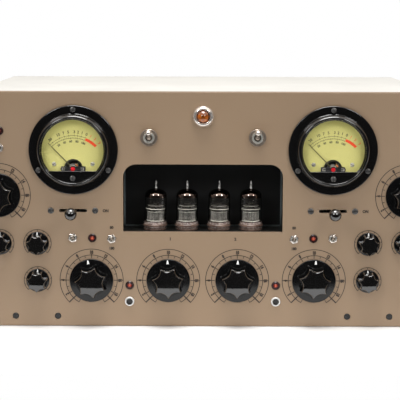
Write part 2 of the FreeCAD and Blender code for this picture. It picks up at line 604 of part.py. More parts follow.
def valves():
    """Noval valves: glass with a drawn-off tip round two anodes between mica discs."""
    places = [standing(f"{place} * valve_pitch", "valve_back", bayFloor) for place in (-1.5, -0.5, 0.5, 1.5)]
    ring = "(bulb_radius + socket_bore_gap)"
    waist = "socket_radius - socket_waist_in"
    socket = turned("valve_socket", [
        ("0", "-socket_stem_long"), ("socket_stem_radius", "-socket_stem_long"), ("socket_stem_radius", "0"),
        ("socket_radius", "0"), ("socket_radius", "socket_foot_high"),
        (waist, "socket_foot_high + socket_waist_in"), (waist, "socket_ring_high - socket_lip_high - socket_waist_in"),
        ("socket_radius", "socket_ring_high - socket_lip_high"), ("socket_radius", "socket_ring_high - socket_chamfer"),
        ("socket_radius - socket_chamfer", "socket_ring_high"),
        (ring, "socket_ring_high"), (ring, "socket_floor"), ("0", "socket_floor")])
    bottom = "(socket_floor + glass_foot_gap)"
    glass = turned("valve_glass", [
        ("0", bottom), ("bulb_radius - bulb_foot_round", bottom), ("bulb_radius", f"{bottom} + bulb_foot_round"),
        ("bulb_radius", "bulb_shoulder", "bulb_radius"), ("tip_radius * 2", "bulb_top"),
        ("tip_radius", "bulb_top + tip_root_high"), ("tip_radius * 0.8", "bulb_tip - tip_end_round"), ("0", "bulb_tip")])
    inside = drawing(glass, "XZ_Plane")
    inner = "(bulb_radius - glass_thick)"
    floor = f"({bottom} + glass_thick * 2)"
    outline(inside, [("0", floor), (inner, floor), (inner, "bulb_shoulder", inner),
                     ("tip_radius", "bulb_top - glass_thick"), ("0", "bulb_top - glass_thick")])
    groove(glass, inside)
    lower = "lower_mica_up"
    anodeFoot = f"({lower} + mica_thick)"
    shieldUp = f"({anodeFoot} + anode_high)"
    upper = f"({shieldUp} + mica_thick + mica_gap)"
    micas = [rod("lower_mica", "mica_radius", lower, anodeFoot),
             rod("shield_mica", "shield_radius", shieldUp, f"{shieldUp} + mica_thick"),
             rod("upper_mica", "mica_radius", upper, f"{upper} + mica_thick")]
    anode = piece("anode")
    section = drawing(anode, "XY_Plane", anodeFoot)
    halfWide = "(anode_wide / 2)"
    halfDeep = "(anode_deep / 2)"
    outline(section, [(f"-{halfWide}", f"-{halfDeep} * 0.5"), (f"-{halfWide} * 0.6", f"-{halfDeep}"),
                      (f"-{halfWide} * 0.2", f"-{halfDeep} * 0.8"), (f"{halfWide} * 0.2", f"-{halfDeep} * 0.8"),
                      (f"{halfWide} * 0.6", f"-{halfDeep}"), (halfWide, f"-{halfDeep} * 0.5"),
                      (halfWide, f"{halfDeep} * 0.5"), (f"{halfWide} * 0.6", halfDeep),
                      (f"-{halfWide} * 0.6", halfDeep), (f"-{halfWide}", f"{halfDeep} * 0.5")])
    pad(anode, section, "anode_high")
    posts = piece("posts")
    feet = drawing(posts, "XY_Plane", floor)
    tops = drawing(posts, "XY_Plane", f"{shieldUp} + mica_thick")
    for sketch in (feet, tops):
        for x in (-1, 1):
            for y in (-1, 1):
                circle(sketch, f"{x} * anode_wide * 0.6", f"{y} * anode_deep * 0.4", "post_radius")
    pad(posts, feet, f"{lower} - {floor}")
    pad(posts, tops, "mica_gap")
    getter = piece("getter")
    ring = drawing(getter, "XY_Plane", f"{upper} + mica_thick + getter_up")
    circle(ring, "0", "0", "getter_radius")
    circle(ring, "0", "0", "getter_radius - post_radius * 2")
    pad(getter, ring, "post_radius")
    strut = drawing(getter, "XY_Plane", f"{upper} + mica_thick")
    circle(strut, "getter_radius - post_radius", "0", "post_radius")
    pad(getter, strut, "getter_up + post_radius")
    group("valve_sockets", [([socket], places)])
    group("valve_envelopes", [([glass], places)])
    group("valve_micas", [(micas, places)])
    anodes = [standing(f"{place} * valve_pitch + {side} * (anode_wide / 2 + running_fit)", "valve_back", bayFloor)
              for place in (-1.5, -0.5, 0.5, 1.5) for side in (-1, 1)]
    group("valve_electrodes", [([anode], anodes), ([posts, getter], places)])


def meterBezel():
    """Moulded flange and rim whose lower part masks the movement."""
    rim = "meter_rim_radius"
    bore = "meter_bore_radius"
    window = "meter_window_radius"
    flange = "meter_flange_thick"
    high = "meter_rim_high"
    edge = "flange_round"
    body = turned("meter_bezel", [
        (bore, "0"), ("meter_flange_radius", "0"), ("meter_flange_radius", f"{flange} - {edge}", edge),
        (f"meter_flange_radius - {edge}", flange), (f"{rim} + rim_foot", flange), (rim, f"{flange} + rim_foot"),
        (f"{rim} - rim_draft", f"{high} - rim_round", "rim_round"), (f"{rim} - rim_draft - rim_round", high),
        (f"{window} + window_round", high, "window_round"), (window, f"{high} - window_round"), (window, "meter_lip_back"),
        (bore, "meter_lip_back")])
    mask = drawing(body, "XY_Plane", "meter_lip_back")
    chord = f"sqrt({bore} ^ 2 - mask_drop ^ 2)"
    outline(mask, [(f"-{chord}", "-mask_drop", bore), ("0", f"-{bore}", bore), (chord, "-mask_drop")])
    pad(body, mask, "mask_thick")
    zero = drawing(body, "XY_Plane", "meter_lip_back + mask_thick")
    circle(zero, "0", "-zero_drop", "zero_stem_radius + running_fit")
    pocket(body, zero, "mask_thick * 2")
    holes = drawing(body, "XY_Plane")
    for angle in meterScrewAngles:
        circle(holes, f"meter_screw_radius * cos({angle})", f"meter_screw_radius * sin({angle})", screwHole)
    pocket(body, holes)
    return body


def meterMovement():
    """Moving-coil movement: magnet, yoke with a bored gap, core, front bridge and dial pillars."""
    back = "(-can_deep + can_wall)"
    yokeFront = "(-yoke_behind_flange)"
    yokeBack = "(-coil_deep - yoke_behind_coil)"
    bore = "(coil_radius + coil_wire + pole_gap)"
    magnet = rod("magnet", "magnet_radius", back, yokeBack)
    yoke = piece("yoke")
    section = drawing(yoke, "XY_Plane", yokeBack)
    block(section, "0", "-pivot_drop", "yoke_wide", "yoke_high")
    circle(section, "0", "-pivot_drop", bore)
    pad(yoke, section, f"{yokeFront} - {yokeBack}")
    plate = drawing(yoke, "XY_Plane", yokeBack)
    rectangle(plate, "-dial_screw_across - yoke_plate_margin", "-dial_screw_drop - yoke_plate_margin",
              "dial_screw_across + yoke_plate_margin", "-dial_screw_drop + yoke_plate_margin")
    pad(yoke, plate, "yoke_plate_thick")
    pillars = drawing(yoke, "XY_Plane", f"{yokeBack} + yoke_plate_thick / 2")
    for side in (-1, 1):
        circle(pillars, f"{side} * dial_screw_across", "-dial_screw_drop", "dial_screw_head * pillar_share")
    pad(yoke, pillars, f"dial_forward - {yokeBack} - yoke_plate_thick / 2")
    core = piece("core")
    round = drawing(core, "XY_Plane", "-coil_deep")
    circle(round, "0", "-pivot_drop", "core_radius")
    pad(core, round, "coil_deep")
    arm = drawing(core, "XY_Plane", "-coil_deep * 0.8")
    rectangle(arm, "-core_arm_wide / 2", f"-pivot_drop - {bore}", "core_arm_wide / 2",
              "-pivot_drop - core_radius * 0.8")
    pad(core, arm, "coil_deep * 0.6")
    bridge = piece("bridge")
    bar = drawing(bridge, "XY_Plane", "bridge_forward")
    slot(bar, "0", "-pivot_drop", "bridge_wide", "bridge_high")
    pad(bridge, bar, "bridge_thick")
    posts = drawing(bridge, "XY_Plane", yokeFront)
    for side in (-1, 1):
        circle(posts, f"{side} * (bridge_wide / 2 - bridge_post_radius * 2)", "-pivot_drop", "bridge_post_radius")
    pad(bridge, posts, f"bridge_forward - {yokeFront} + bridge_thick / 2")
    bridgeFront = "(bridge_forward + bridge_thick)"
    pivot = turned("pivot_screw", [("0", bridgeFront), ("pivot_screw_radius", bridgeFront),
                                   ("pivot_screw_radius", f"{bridgeFront} + pivot_screw_edge"),
                                   ("0", f"{bridgeFront} + pivot_screw_high")])
    dialFront = "(dial_forward + dial_thick)"
    head = turned("dial_screw", [("0", dialFront), ("dial_screw_head", dialFront),
                                 ("dial_screw_head", f"{dialFront} + dial_screw_edge"),
                                 ("0", f"{dialFront} + dial_screw_high")])
    return magnet, yoke, core, bridge, pivot, head


def meterGroups():
    places = [facing(across, up) for across, up in meters]
    pivots = [facing(across, f"{up} - pivot_drop") for across, up in meters]
    group("meter_bezels", [([meterBezel()], places)])
    glass = piece("meter_glass")
    pane = drawing(glass, "XY_Plane", "meter_lip_back - running_fit - meter_glass_thick")
    radius = "(meter_bore_radius - hole_clearance)"
    cut = "(mask_drop + 2)"
    chord = f"sqrt({radius} ^ 2 - {cut} ^ 2)"
    outline(pane, [(chord, f"-{cut}", radius), ("0", radius, radius), (f"-{chord}", f"-{cut}")])
    pad(glass, pane, "meter_glass_thick")
    group("meter_glasses", [([glass], places)])
    dial = piece("meter_dial")
    face = drawing(dial, "XY_Plane", "dial_forward")
    radius = "(meter_bore_radius - hole_clearance)"
    chord = f"sqrt({radius} ^ 2 - dial_drop ^ 2)"
    outline(face, [(chord, "-dial_drop", radius), ("0", radius, radius), (f"-{chord}", "-dial_drop")])
    pad(dial, face, "dial_thick")
    hole = drawing(dial, "XY_Plane", "dial_forward + dial_thick")
    half = "(bridge_wide / 2)"
    reach = f"sqrt(movement_hole_radius ^ 2 - {'(bridge_high / 2)'} ^ 2)"
    outline(hole, [(f"-{half}", "-dial_drop - 2"), (half, "-dial_drop - 2"), (half, "-pivot_drop + bridge_high / 2"),
                   (reach, "-pivot_drop + bridge_high / 2", "movement_hole_radius"),
                   ("0", "-pivot_drop + movement_hole_radius", "movement_hole_radius"),
                   (f"-{reach}", "-pivot_drop + bridge_high / 2"), (f"-{half}", "-pivot_drop + bridge_high / 2")])
    pocket(dial, hole, "dial_thick * 2")
    group("meter_dials", [([dial], places)])
    magnet, yoke, core, bridge, pivot, head = meterMovement()
    heads = [facing(f"{across} + {side} * dial_screw_across", f"{up} - dial_screw_drop")
             for across, up in meters for side in (-1, 1)]
    group("meter_movements", [([magnet, yoke, core, bridge], places), ([pivot], pivots), ([head], heads)])
    can = turned("meter_can", [("0", "-can_deep"), ("can_radius", "-can_deep"), ("can_radius", "0"),
                               ("can_radius - can_wall", "0"), ("can_radius - can_wall", "-can_deep + can_wall"),
                               ("0", "-can_deep + can_wall")])
    studs = drawing(can, "XY_Plane", "-can_deep")
    for side in (-1, 1):
        circle(studs, f"{side} * can_radius / 2", "0", "screw_radius * 1.4")
    pad(can, studs, "screw_long * 2", reverse=True)
    group("meter_cans", [([can], places)])


def needles():
    """Pointer, hub and coil frame that turn as one about the pivot, drawn upright."""
    body = piece("needle")
    blade = drawing(body, "XY_Plane", "needle_forward")
    outline(blade, [("-needle_root / 2", "-coil_radius"), ("needle_root / 2", "-coil_radius"),
                    ("needle_root / 2", "coil_radius"), ("needle_end / 2", "needle_long"),
                    ("-needle_end / 2", "needle_long"), ("-needle_root / 2", "coil_radius")])
    pad(body, blade, "needle_thick")
    hub = drawing(body, "XY_Plane", "coil_wire + running_fit")
    circle(hub, "0", "0", "needle_hub_radius")
    pad(body, hub, "bridge_forward - coil_wire - 5 * running_fit")
    coil = drawing(body, "XZ_Plane")
    outer = "(coil_radius + coil_wire)"
    top = "(coil_room + coil_wire)"
    rectangle(coil, f"-{outer}", "-coil_deep - coil_room - coil_wire", outer, top)
    rectangle(coil, "-coil_radius", "-coil_deep - coil_room", "coil_radius", "coil_room")
    pad(body, coil, "coil_wide", middle=True)
    for name, (across, up) in zip(("left", "right"), meters):
        node(f"meter_needle_{name}", [body], facing(across, f"{up} - pivot_drop", turn="needle_rest"))


def zeroScrews():
    seat = "(meter_lip_back + mask_thick)"
    body = turned("zero_screw", [
        ("0", "meter_lip_back - mask_thick"), ("zero_stem_radius", "meter_lip_back - mask_thick"),
        ("zero_stem_radius", f"{seat} + running_fit"), ("zero_head_radius", f"{seat} + running_fit"),
        ("zero_head_radius", f"{seat} + zero_head_edge"), ("zero_head_radius * 0.8", f"{seat} + zero_head_high"),
        ("0", f"{seat} + zero_head_high")])
    cut = drawing(body, "XY_Plane", f"{seat} + zero_head_high")
    block(cut, "0", "0", "zero_head_radius * 2.2", "zero_slot_wide")
    pocket(body, cut, "zero_slot_deep")
    for name, (across, up) in zip(("left", "right"), meters):
        node(f"zero_screw_{name}", [body], facing(across, f"{up} - zero_drop"))


def flutedKnob(label, skirt, edge, slope, tip, high, dome, flute, waist):
    """Skirted knob turned from a profile, scalloped all round, hollow over the pot's nut."""
    shoulder = f"(knob_gap + {edge} + {slope})"
    nutRoom = "(bush_forward + nut_room)"
    body = turned(label, [
        ("pot_nut_radius + nut_room", "knob_gap"), (skirt, "knob_gap"), (skirt, f"knob_gap + {edge}"),
        (f"{tip} + knob_corner", shoulder), (tip, f"{shoulder} + knob_corner"), (tip, f"{high} - {dome}"),
        (f"{tip} * 0.9", f"{high} - {dome} * 0.35"), (f"{tip} * 0.7", high), ("0", high),
        ("0", f"{high} - knob_top_wall"), ("shaft_radius + running_fit", f"{high} - knob_top_wall"),
        ("shaft_radius + running_fit", nutRoom), ("pot_nut_radius + nut_room", nutRoom)])
    scallop = drawing(body, "XY_Plane", shoulder)
    circle(scallop, "0", f"{waist} + {flute}", flute)
    polar(body, pocket(body, scallop, high, reverse=True), scallop, "knob_flutes")
    shaft = rod(f"{label}_shaft", "shaft_radius", f"{behind} - shaft_grip", f"{high} - knob_top_wall")
    return body, shaft


def knobs():
    large = flutedKnob("large_knob", "knob_skirt_radius", "knob_skirt_edge", "knob_skirt_slope",
                       "knob_tip_radius", "knob_high", "knob_dome", "knob_flute_radius", "knob_waist")
    small = flutedKnob("small_knob", "small_skirt_radius", "small_skirt_edge", "small_skirt_slope",
                       "small_tip_radius", "small_knob_high", "small_dome", "small_flute_radius", "small_waist")
    largeNames = ("volume_knob_left", "volume_knob_right", "gain_knob_left", "gain_knob_right",
                  "outer_knob_left", "outer_knob_right")
    largeTurns = (2, -1.5, 10, -5, 114, -50)
    smallNames = ("upper_small_knob_left", "upper_small_knob_right", "lower_small_knob_left",
                  "lower_small_knob_right", "edge_small_knob_left", "edge_small_knob_right")
    for names, pieces, places, turns in ((largeNames, large, largeKnobs, largeTurns),
                                         (smallNames, small, smallKnobs, (0,) * 6)):
        for name, (across, up), turn in zip(names, places, turns):
            node(name, pieces, facing(across, up, turn=turn))


def pots():
    """Control bodies with a threaded bush through the panel and a nut on it."""
    nut = tube("pot_nut", "pot_nut_radius", "bush_radius + running_fit", "0", "pot_nut_high")

    def pot(label, radius):
        bore = "shaft_radius + running_fit"
        end = f"({behind} - shaft_grip - shaft_end_gap)"
        return turned(label, [("0", f"{behind} - pot_deep"), (radius, f"{behind} - pot_deep"), (radius, behind),
                              ("bush_radius", behind), ("bush_radius", "bush_forward"), (bore, "bush_forward"),
                              (bore, end), ("0", end)])

    group("control_pots", [([pot("large_pot", "pot_radius"), nut], [facing(*place) for place in largeKnobs]),
                           ([pot("small_pot", "small_pot_radius"), nut], [facing(*place) for place in smallKnobs])])


def leverKeys():
    """Ball-ended lever that rocks about an upright pin behind the panel, in a frame with contacts."""
    pivot = "(-lever_pivot_back)"
    reach = "(lever_ball_forward + lever_pivot_back)"
    root = "(lever_hub_radius * 0.7)"
    neck = f"sqrt(lever_ball_radius ^ 2 - lever_rod_radius ^ 2)"
    lever = turned("lever", [("0", root), ("lever_rod_radius", root), ("lever_rod_radius", f"{reach} - {neck}", "lever_ball_radius"),
                             ("lever_ball_radius", reach, "lever_ball_radius"), ("0", f"{reach} + lever_ball_radius")])
    hub = drawing(lever, "XZ_Plane")
    circle(hub, "0", "0", "lever_hub_radius")
    pad(lever, hub, "lever_hub_long", middle=True)
    bore = drawing(lever, "XZ_Plane")
    circle(bore, "0", "0", "lever_pin_radius + running_fit")
    pocket(lever, bore)
    frame = piece("lever_frame")
    plate = drawing(frame, "XY_Plane", behind)
    block(plate, "0", "0", "lever_screw_apart + flange_wide / 2", "lever_frame_wide")
    slot(plate, "0", "0", "lever_slot_long", "lever_slot_high")
    for side in (-1, 1):
        circle(plate, f"{side} * lever_screw_apart / 2", "0", screwHole)
    pad(frame, plate, "lever_frame_thick", reverse=True)
    cheekIn = "(lever_hub_long / 2 + lever_cheek_gap)"
    for side in (-1, 1):
        cheek = drawing(frame, "XZ_Plane", f"{-side} * {cheekIn}")
        rectangle(cheek, "-lever_frame_wide / 2", f"{pivot} - lever_frame_wide / 2", "lever_frame_wide / 2",
                  f"{behind} - lever_frame_thick / 2")
        circle(cheek, "0", pivot, "lever_pin_radius + running_fit")
        pad(frame, cheek, "lever_frame_thick", reverse=side > 0)
    pin = piece("lever_pin")
    round = drawing(pin, "XZ_Plane")
    circle(round, "0", pivot, "lever_pin_radius")
    pad(pin, round, f"2 * ({cheekIn} + lever_frame_thick)", middle=True)
    contacts = piece("lever_contacts")
    stack = drawing(contacts, "XY_Plane", f"{behind} - lever_frame_thick")
    for side in (-1, 1):
        block(stack, f"{side} * (contact_inset + contact_wide / 2)", "0", "contact_wide", "contact_high")
    pad(contacts, stack, "contact_deep", reverse=True)
    for name, (across, up) in zip(("left", "right"), levers):
        node(f"lever_key_{name}", [lever], facing(across, up, forward=pivot))
    group("lever_switch_frames", [([frame, pin, contacts], [facing(*place) for place in levers])])


def toggleParts(size):
    """Bat lever with a pivot ball, and a body whose bored bush stands through the panel."""
    neck = f"{size}_neck_radius"
    ball = f"{size}_ball_radius"
    tip = f"{size}_bat_radius"
    long = f"{size}_bat_long"
    join = f"sqrt({ball} ^ 2 - {neck} ^ 2)"
    bat = turned(f"{size}_bat", [
        ("0", f"-{ball}", ball), (ball, "0", ball), (neck, join), (tip, f"{long} - {tip}", tip), ("0", long)])
    body = piece(f"{size}_switch")
    box = drawing(body, "XY_Plane", behind)
    block(box, "0", "0", f"{size}_body_wide", f"{size}_body_high")
    pad(body, box, f"{size}_body_deep", reverse=True)
    bush = drawing(body, "XY_Plane", behind)
    circle(bush, "0", "0", f"{size}_bush_radius")
    pad(body, bush, f"panel_thick + {size}_bush_high")
    bore = drawing(body, "XY_Plane", f"{size}_bush_high")
    circle(bore, "0", "0", f"{size}_bore_radius")
    pocket(body, bore, f"{size}_bush_high - {size}_pivot_up + {ball} + 0.3")
    return bat, body


def switches():
    mainBat, mainBody = toggleParts("main")
    miniBat, miniBody = toggleParts("mini")
    mainNut = turned("main_nut", [
        ("main_bush_radius + running_fit", "0"), ("main_nut_radius", "0"), ("main_nut_radius", "main_nut_high - main_nut_edge"),
        ("main_nut_radius - main_nut_slope", "main_nut_high"), ("main_bush_radius + running_fit", "main_nut_high")])
    miniNut = piece("mini_nut")
    flats = drawing(miniNut, "XY_Plane")
    outline(flats, [(f"mini_nut_radius * cos({60 * side})", f"mini_nut_radius * sin({60 * side})") for side in range(6)])
    circle(flats, "0", "0", "mini_bush_radius + running_fit")
    pad(miniNut, flats, "mini_nut_high")
    ring = turned("button_ring", [
        ("button_bush_radius + running_fit", "0"), ("button_ring_radius", "0"),
        ("button_ring_radius", "button_ring_high - button_ring_edge"),
        ("button_ring_radius - button_ring_edge", "button_ring_high"),
        ("button_bush_radius + running_fit", "button_ring_high")])
    bore = "(button_radius + running_fit)"
    end = "(button_forward - button_body_deep + button_end_wall)"
    bushTop = "(button_ring_high - button_bush_drop)"
    buttonBody = turned("button_body", [
        ("0", f"{behind} - button_body_deep"), ("button_body_radius", f"{behind} - button_body_deep"),
        ("button_body_radius", behind), ("button_bush_radius", behind),
        ("button_bush_radius", bushTop), (bore, bushTop), (bore, end), ("0", end)])
    plunger = turned("plunger", [
        ("0", f"{end} + button_travel + hole_clearance"), ("button_radius", f"{end} + button_travel + hole_clearance"),
        ("button_radius", "button_forward - button_round"), ("button_radius - button_round", "button_forward"),
        ("0", "button_forward")])
    mains = [facing(*place) for place in mainToggles]
    minis = [facing(*place) for place in miniToggles]
    presses = [facing(*place) for place in buttons]
    group("switch_bodies", [([mainBody], mains), ([miniBody], minis), ([buttonBody], presses)])
    group("switch_nuts", [([mainNut], mains), ([miniNut], minis), ([ring], presses)])
    mainNames = ("line_toggle_left", "power_toggle_right")
    miniNames = ("filter_toggle_left", "filter_toggle_right", "pad_toggle_left", "pad_toggle_right",
                 "edge_toggle_left", "edge_toggle_right")
    for names, bat, places, up in ((mainNames, mainBat, mainToggles, "main_pivot_up"),
                                   (miniNames, miniBat, miniToggles, "mini_pivot_up")):
        for name, (across, high) in zip(names, places):
            node(name, [bat], facing(across, high, forward=up, lean="toggle_tilt"))
    for name, place in zip(("push_button_left", "push_button_right"), presses):
        node(name, [plunger], place)


def indicators():
    bore = "(lamp_lens_radius + running_fit)"
    bezel = turned("lamp_bezel", [
        (bore, "-lamp_stem_back"), ("lamp_stem_radius", "-lamp_stem_back"), ("lamp_stem_radius", "0"),
        ("lamp_bezel_radius", "0"), ("lamp_bezel_radius", "lamp_bezel_high - lamp_bezel_edge"),
        ("lamp_bezel_radius - lamp_bezel_edge", "lamp_bezel_high"), (bore, "lamp_bezel_high")])
    lens = turned("lamp_lens", [
        ("0", "-lamp_stem_back"), ("lamp_lens_radius", "-lamp_stem_back"),
        ("lamp_lens_radius", "lamp_lens_high - lamp_lens_edge"),
        ("lamp_lens_radius * 0.7", "lamp_lens_high - lamp_lens_edge * 0.3"),
        ("0", "lamp_lens_high")])
    places = [facing(*place) for place in lamps]
    group("indicator_bezels", [([bezel], places)])
    group("indicator_lenses", [([lens], places)])
    bore = "(jewel_radius + running_fit)"
    ring = turned("jewel_ring", [
        (bore, "-jewel_stem_long"), ("jewel_stem_radius", "-jewel_stem_long"), ("jewel_stem_radius", "0"),
        ("jewel_bezel_radius", "0"), ("jewel_bezel_radius", "jewel_bezel_edge"),
        ("jewel_bezel_radius - jewel_bezel_slope", "jewel_bezel_high - jewel_bezel_edge"),
        ("jewel_radius + jewel_bezel_lip", "jewel_bezel_high"), (bore, "jewel_bezel_high - jewel_bezel_drop")])
    holder = rod("lamp_holder", "jewel_stem_radius", "-jewel_stem_long - lamp_holder_long", "-jewel_stem_long")
    jewel = piece("jewel")
    angle = "(360 / jewel_facets)"
    for level, length, taper in (("-jewel_stem_long", "jewel_stem_long + jewel_bezel_high", "0"),
                                 ("jewel_bezel_high", "jewel_high - jewel_bezel_high", "-jewel_taper")):
        section = drawing(jewel, "XY_Plane", level)
        outline(section, [(f"jewel_radius * cos({index} * {angle})", f"jewel_radius * sin({index} * {angle})")
                          for index in range(int(dimensions["jewel_facets"]))])
        pad(jewel, section, length).setExpression("TaperAngle", bound(taper))
    place = facing("0", "jewel_up")
    node("jewel_bezel", [ring, holder], place)
    node("jewel_lens", [jewel], place)


def transformers():
    """Laminated stack between two bells on feet, and two canned output transformers."""
    power = piece("power_stack")
    stack = drawing(power, "XZ_Plane")
    rectangle(stack, "-power_wide / 2", "0", "power_wide / 2", "power_high")
    pad(power, stack, "stack_thick", middle=True)
    bells = drawing(power, "XZ_Plane")
    left = "(-power_wide / 2 + bell_corner)"
    right = "(power_wide / 2 - bell_corner)"
    low = "bell_corner"
    high = "(power_high - bell_corner)"
    outline(bells, [(left, f"{low} + bell_corner"), (f"{left} + bell_corner", low), (f"{right} - bell_corner", low),
                    (right, f"{low} + bell_corner"), (right, f"{high} - bell_corner"),
                    (f"{right} - bell_corner", high), (f"{left} + bell_corner", high), (left, f"{high} - bell_corner")])
    pad(power, bells, "stack_thick + 2 * coil_bell_deep", middle=True)
    feet = drawing(power, "XY_Plane")
    for side in (-1, 1):
        block(feet, f"{side} * (power_wide + power_foot - power_foot_overlap) / 2", "0",
              "power_foot + power_foot_overlap", "stack_thick")
    pad(power, feet, "sheet_thick")
    node("power_transformer", [power], standing("power_across", "power_back", "sheet_thick"))
    can = turned("output_can", [
        ("0", "0"), ("output_radius", "0"), ("output_radius", "output_high - output_lid"),
        ("output_radius - output_lid", "output_high"), ("0", "output_high")])
    places = [standing(f"output_left + {index} * output_pitch", "output_back", "sheet_thick")
              for index in range(int(dimensions["outputs"]))]
    group("output_transformers", [([can], places)])


def circuitBoard():
    board = piece("board")
    sheetOutline = drawing(board, "XY_Plane", "board_up")
    rectangle(sheetOutline, "board_left", "board_front", "board_right", "board_rear")
    pad(board, sheetOutline, "board_thick")
    pillar = rod("pillar", "pillar_radius", "sheet_thick", "board_up")
    corners = [standing(across, back, "0") for across in ("board_left + pillar_inset", "board_right - pillar_inset")
               for back in ("board_front + pillar_inset", "board_rear - pillar_inset")]
    group("main_board", [([board], [standing("0", "0", "0")]), ([pillar], corners)])
    can = turned("capacitor", [
        ("0", "0"), ("capacitor_radius", "0"), ("capacitor_radius", "capacitor_high - capacitor_round"),
        ("capacitor_radius - capacitor_round", "capacitor_high"), ("0", "capacitor_high")])
    cans = [standing(f"capacitor_left + {index} * capacitor_pitch", "capacitor_back", "board_up + board_thick")
            for index in range(int(dimensions["capacitors"]))]
    group("board_capacitors", [([can], cans)])


def mainsInlet():
    """Recessed inlet with three blades."""
    shell = piece("inlet_shell")
    flange = drawing(shell, "XY_Plane")
    block(flange, "0", "0", "inlet_flange_wide", "inlet_flange_high")
    pad(shell, flange, "inlet_flange_thick")
    back = drawing(shell, "XY_Plane")
    block(back, "0", "0", "inlet_wide", "inlet_high")
    pad(shell, back, "inlet_deep", reverse=True)
    cup = drawing(shell, "XY_Plane", "inlet_flange_thick")
    halfWide = "(inlet_cup_wide / 2)"
    halfHigh = "(inlet_cup_high / 2)"
    cut = "(inlet_cup_high / 4)"
    outline(cup, [(f"-{halfWide}", f"-{halfHigh}"), (halfWide, f"-{halfHigh}"), (halfWide, f"{halfHigh} - {cut}"),
                  (f"{halfWide} - {cut}", halfHigh), (f"-{halfWide} + {cut}", halfHigh),
                  (f"-{halfWide}", f"{halfHigh} - {cut}")])
    pocket(shell, cup, "inlet_cup_deep + inlet_flange_thick")
    blades = piece("inlet_blades")
    feet = drawing(blades, "XY_Plane", "-inlet_cup_deep")
    block(feet, "-inlet_pin_apart / 2", "-inlet_pin_rise / 2", "inlet_pin_wide", "inlet_pin_high")
    block(feet, "inlet_pin_apart / 2", "-inlet_pin_rise / 2", "inlet_pin_wide", "inlet_pin_high")
    block(feet, "0", "inlet_pin_rise", "inlet_pin_wide", "inlet_pin_high")
    pad(blades, feet, "inlet_cup_deep - inlet_pin_inset")
    group("mains_inlet", [([shell, blades], [rearward("inlet_across", "inlet_up")])])


def lineSockets():
    """Two panel sockets with a recessed face and two with a cup round three pins."""
    def shell(label, cup, deep):
        body = piece(label)
        flange = drawing(body, "XY_Plane")
        block(flange, "0", "0", "line_flange_wide", "line_flange_high")
        pad(body, flange, "line_flange_thick")
        back = drawing(body, "XY_Plane")
        circle(back, "0", "0", "line_body_radius")
        pad(body, back, "line_body_deep", reverse=True)
        recess = drawing(body, "XY_Plane", "line_flange_thick")
        circle(recess, "0", "0", cup)
        pocket(body, recess, f"{deep} + line_flange_thick")
        return body
    female = shell("line_input", "line_cup_radius", "line_plug_deep")
    holes = drawing(female, "XY_Plane", "-line_plug_deep")
    male = shell("line_output", "line_cup_radius", "line_cup_deep")
    pins = piece("line_pins")
    feet = drawing(pins, "XY_Plane", "-line_cup_deep")
    for angle in (90, 210, 330):
        place = (f"line_pin_circle * cos({angle})", f"line_pin_circle * sin({angle})")
        circle(holes, *place, "line_pin_radius + hole_clearance")
        circle(feet, *place, "line_pin_radius")
    pocket(female, holes, "line_pin_long")
    pad(pins, feet, "line_pin_long")
    group("line_sockets", [([female], [rearward(across, "line_up") for across in lineInputs]),
                           ([male, pins], [rearward(across, "line_up") for across in lineOutputs])])


frontPanel()
chassisBase()
sidePanel("side_panel_left", -1)
sidePanel("side_panel_right", 1)
topCover()
rearPanel()
screws()
valveBay()
valves()
meterGroups()
needles()
zeroScrews()
knobs()
pots()
leverKeys()
switches()
indicators()
transformers()
circuitBoard()
mainsInlet()
lineSockets()
document.recompute()

faults = []
for thing in document.Objects:
    if "Invalid" in thing.State or "Error" in thing.State:
        faults.append(f"{thing.Label} ({thing.Name}): {thing.State}")
for before, feature in cuts:
    if not feature.Shape.isNull() and feature.Shape.Volume > before.Shape.Volume - 1e-3:
        faults.append(f"{feature.Name} in {feature.getParentGeoFeatureGroup().Label} cuts nothing")
for part in subParts:
    if part.Shape.isNull() or not part.Shape.isValid() or not part.Shape.Solids:
        faults.append(f"{part.Label}: shape is missing or not valid")
if faults:
    raise RuntimeError("; ".join(faults))

os.makedirs("parts", exist_ok=True)
for part in subParts:
    part.Shape.exportStep(os.path.join("parts", f"{part.Label}.step"))
print(f"{len(subParts)} sub-parts, {sum(len(part.Shape.Solids) for part in subParts)} solids")
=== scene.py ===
import json
import math
import bpy
import bmesh
from mathutils import Matrix, Vector


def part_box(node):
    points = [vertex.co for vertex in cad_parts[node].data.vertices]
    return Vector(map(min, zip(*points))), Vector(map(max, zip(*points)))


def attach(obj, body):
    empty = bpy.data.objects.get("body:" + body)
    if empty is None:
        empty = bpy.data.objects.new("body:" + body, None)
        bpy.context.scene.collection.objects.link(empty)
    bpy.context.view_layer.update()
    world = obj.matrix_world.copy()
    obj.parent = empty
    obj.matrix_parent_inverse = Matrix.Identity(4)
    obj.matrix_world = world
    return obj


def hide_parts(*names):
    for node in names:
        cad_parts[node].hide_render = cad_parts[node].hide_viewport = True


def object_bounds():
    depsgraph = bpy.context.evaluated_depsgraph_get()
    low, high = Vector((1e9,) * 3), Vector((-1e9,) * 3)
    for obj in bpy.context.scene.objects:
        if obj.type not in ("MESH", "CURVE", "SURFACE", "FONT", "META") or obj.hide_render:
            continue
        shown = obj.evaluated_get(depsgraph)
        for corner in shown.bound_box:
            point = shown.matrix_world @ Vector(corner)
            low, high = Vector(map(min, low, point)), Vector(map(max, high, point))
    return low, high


# Rack compressor: the looks that go round its solids.
# Front pieces are drawn lying down in millimetres, x across, y up the panel, z out of its face.

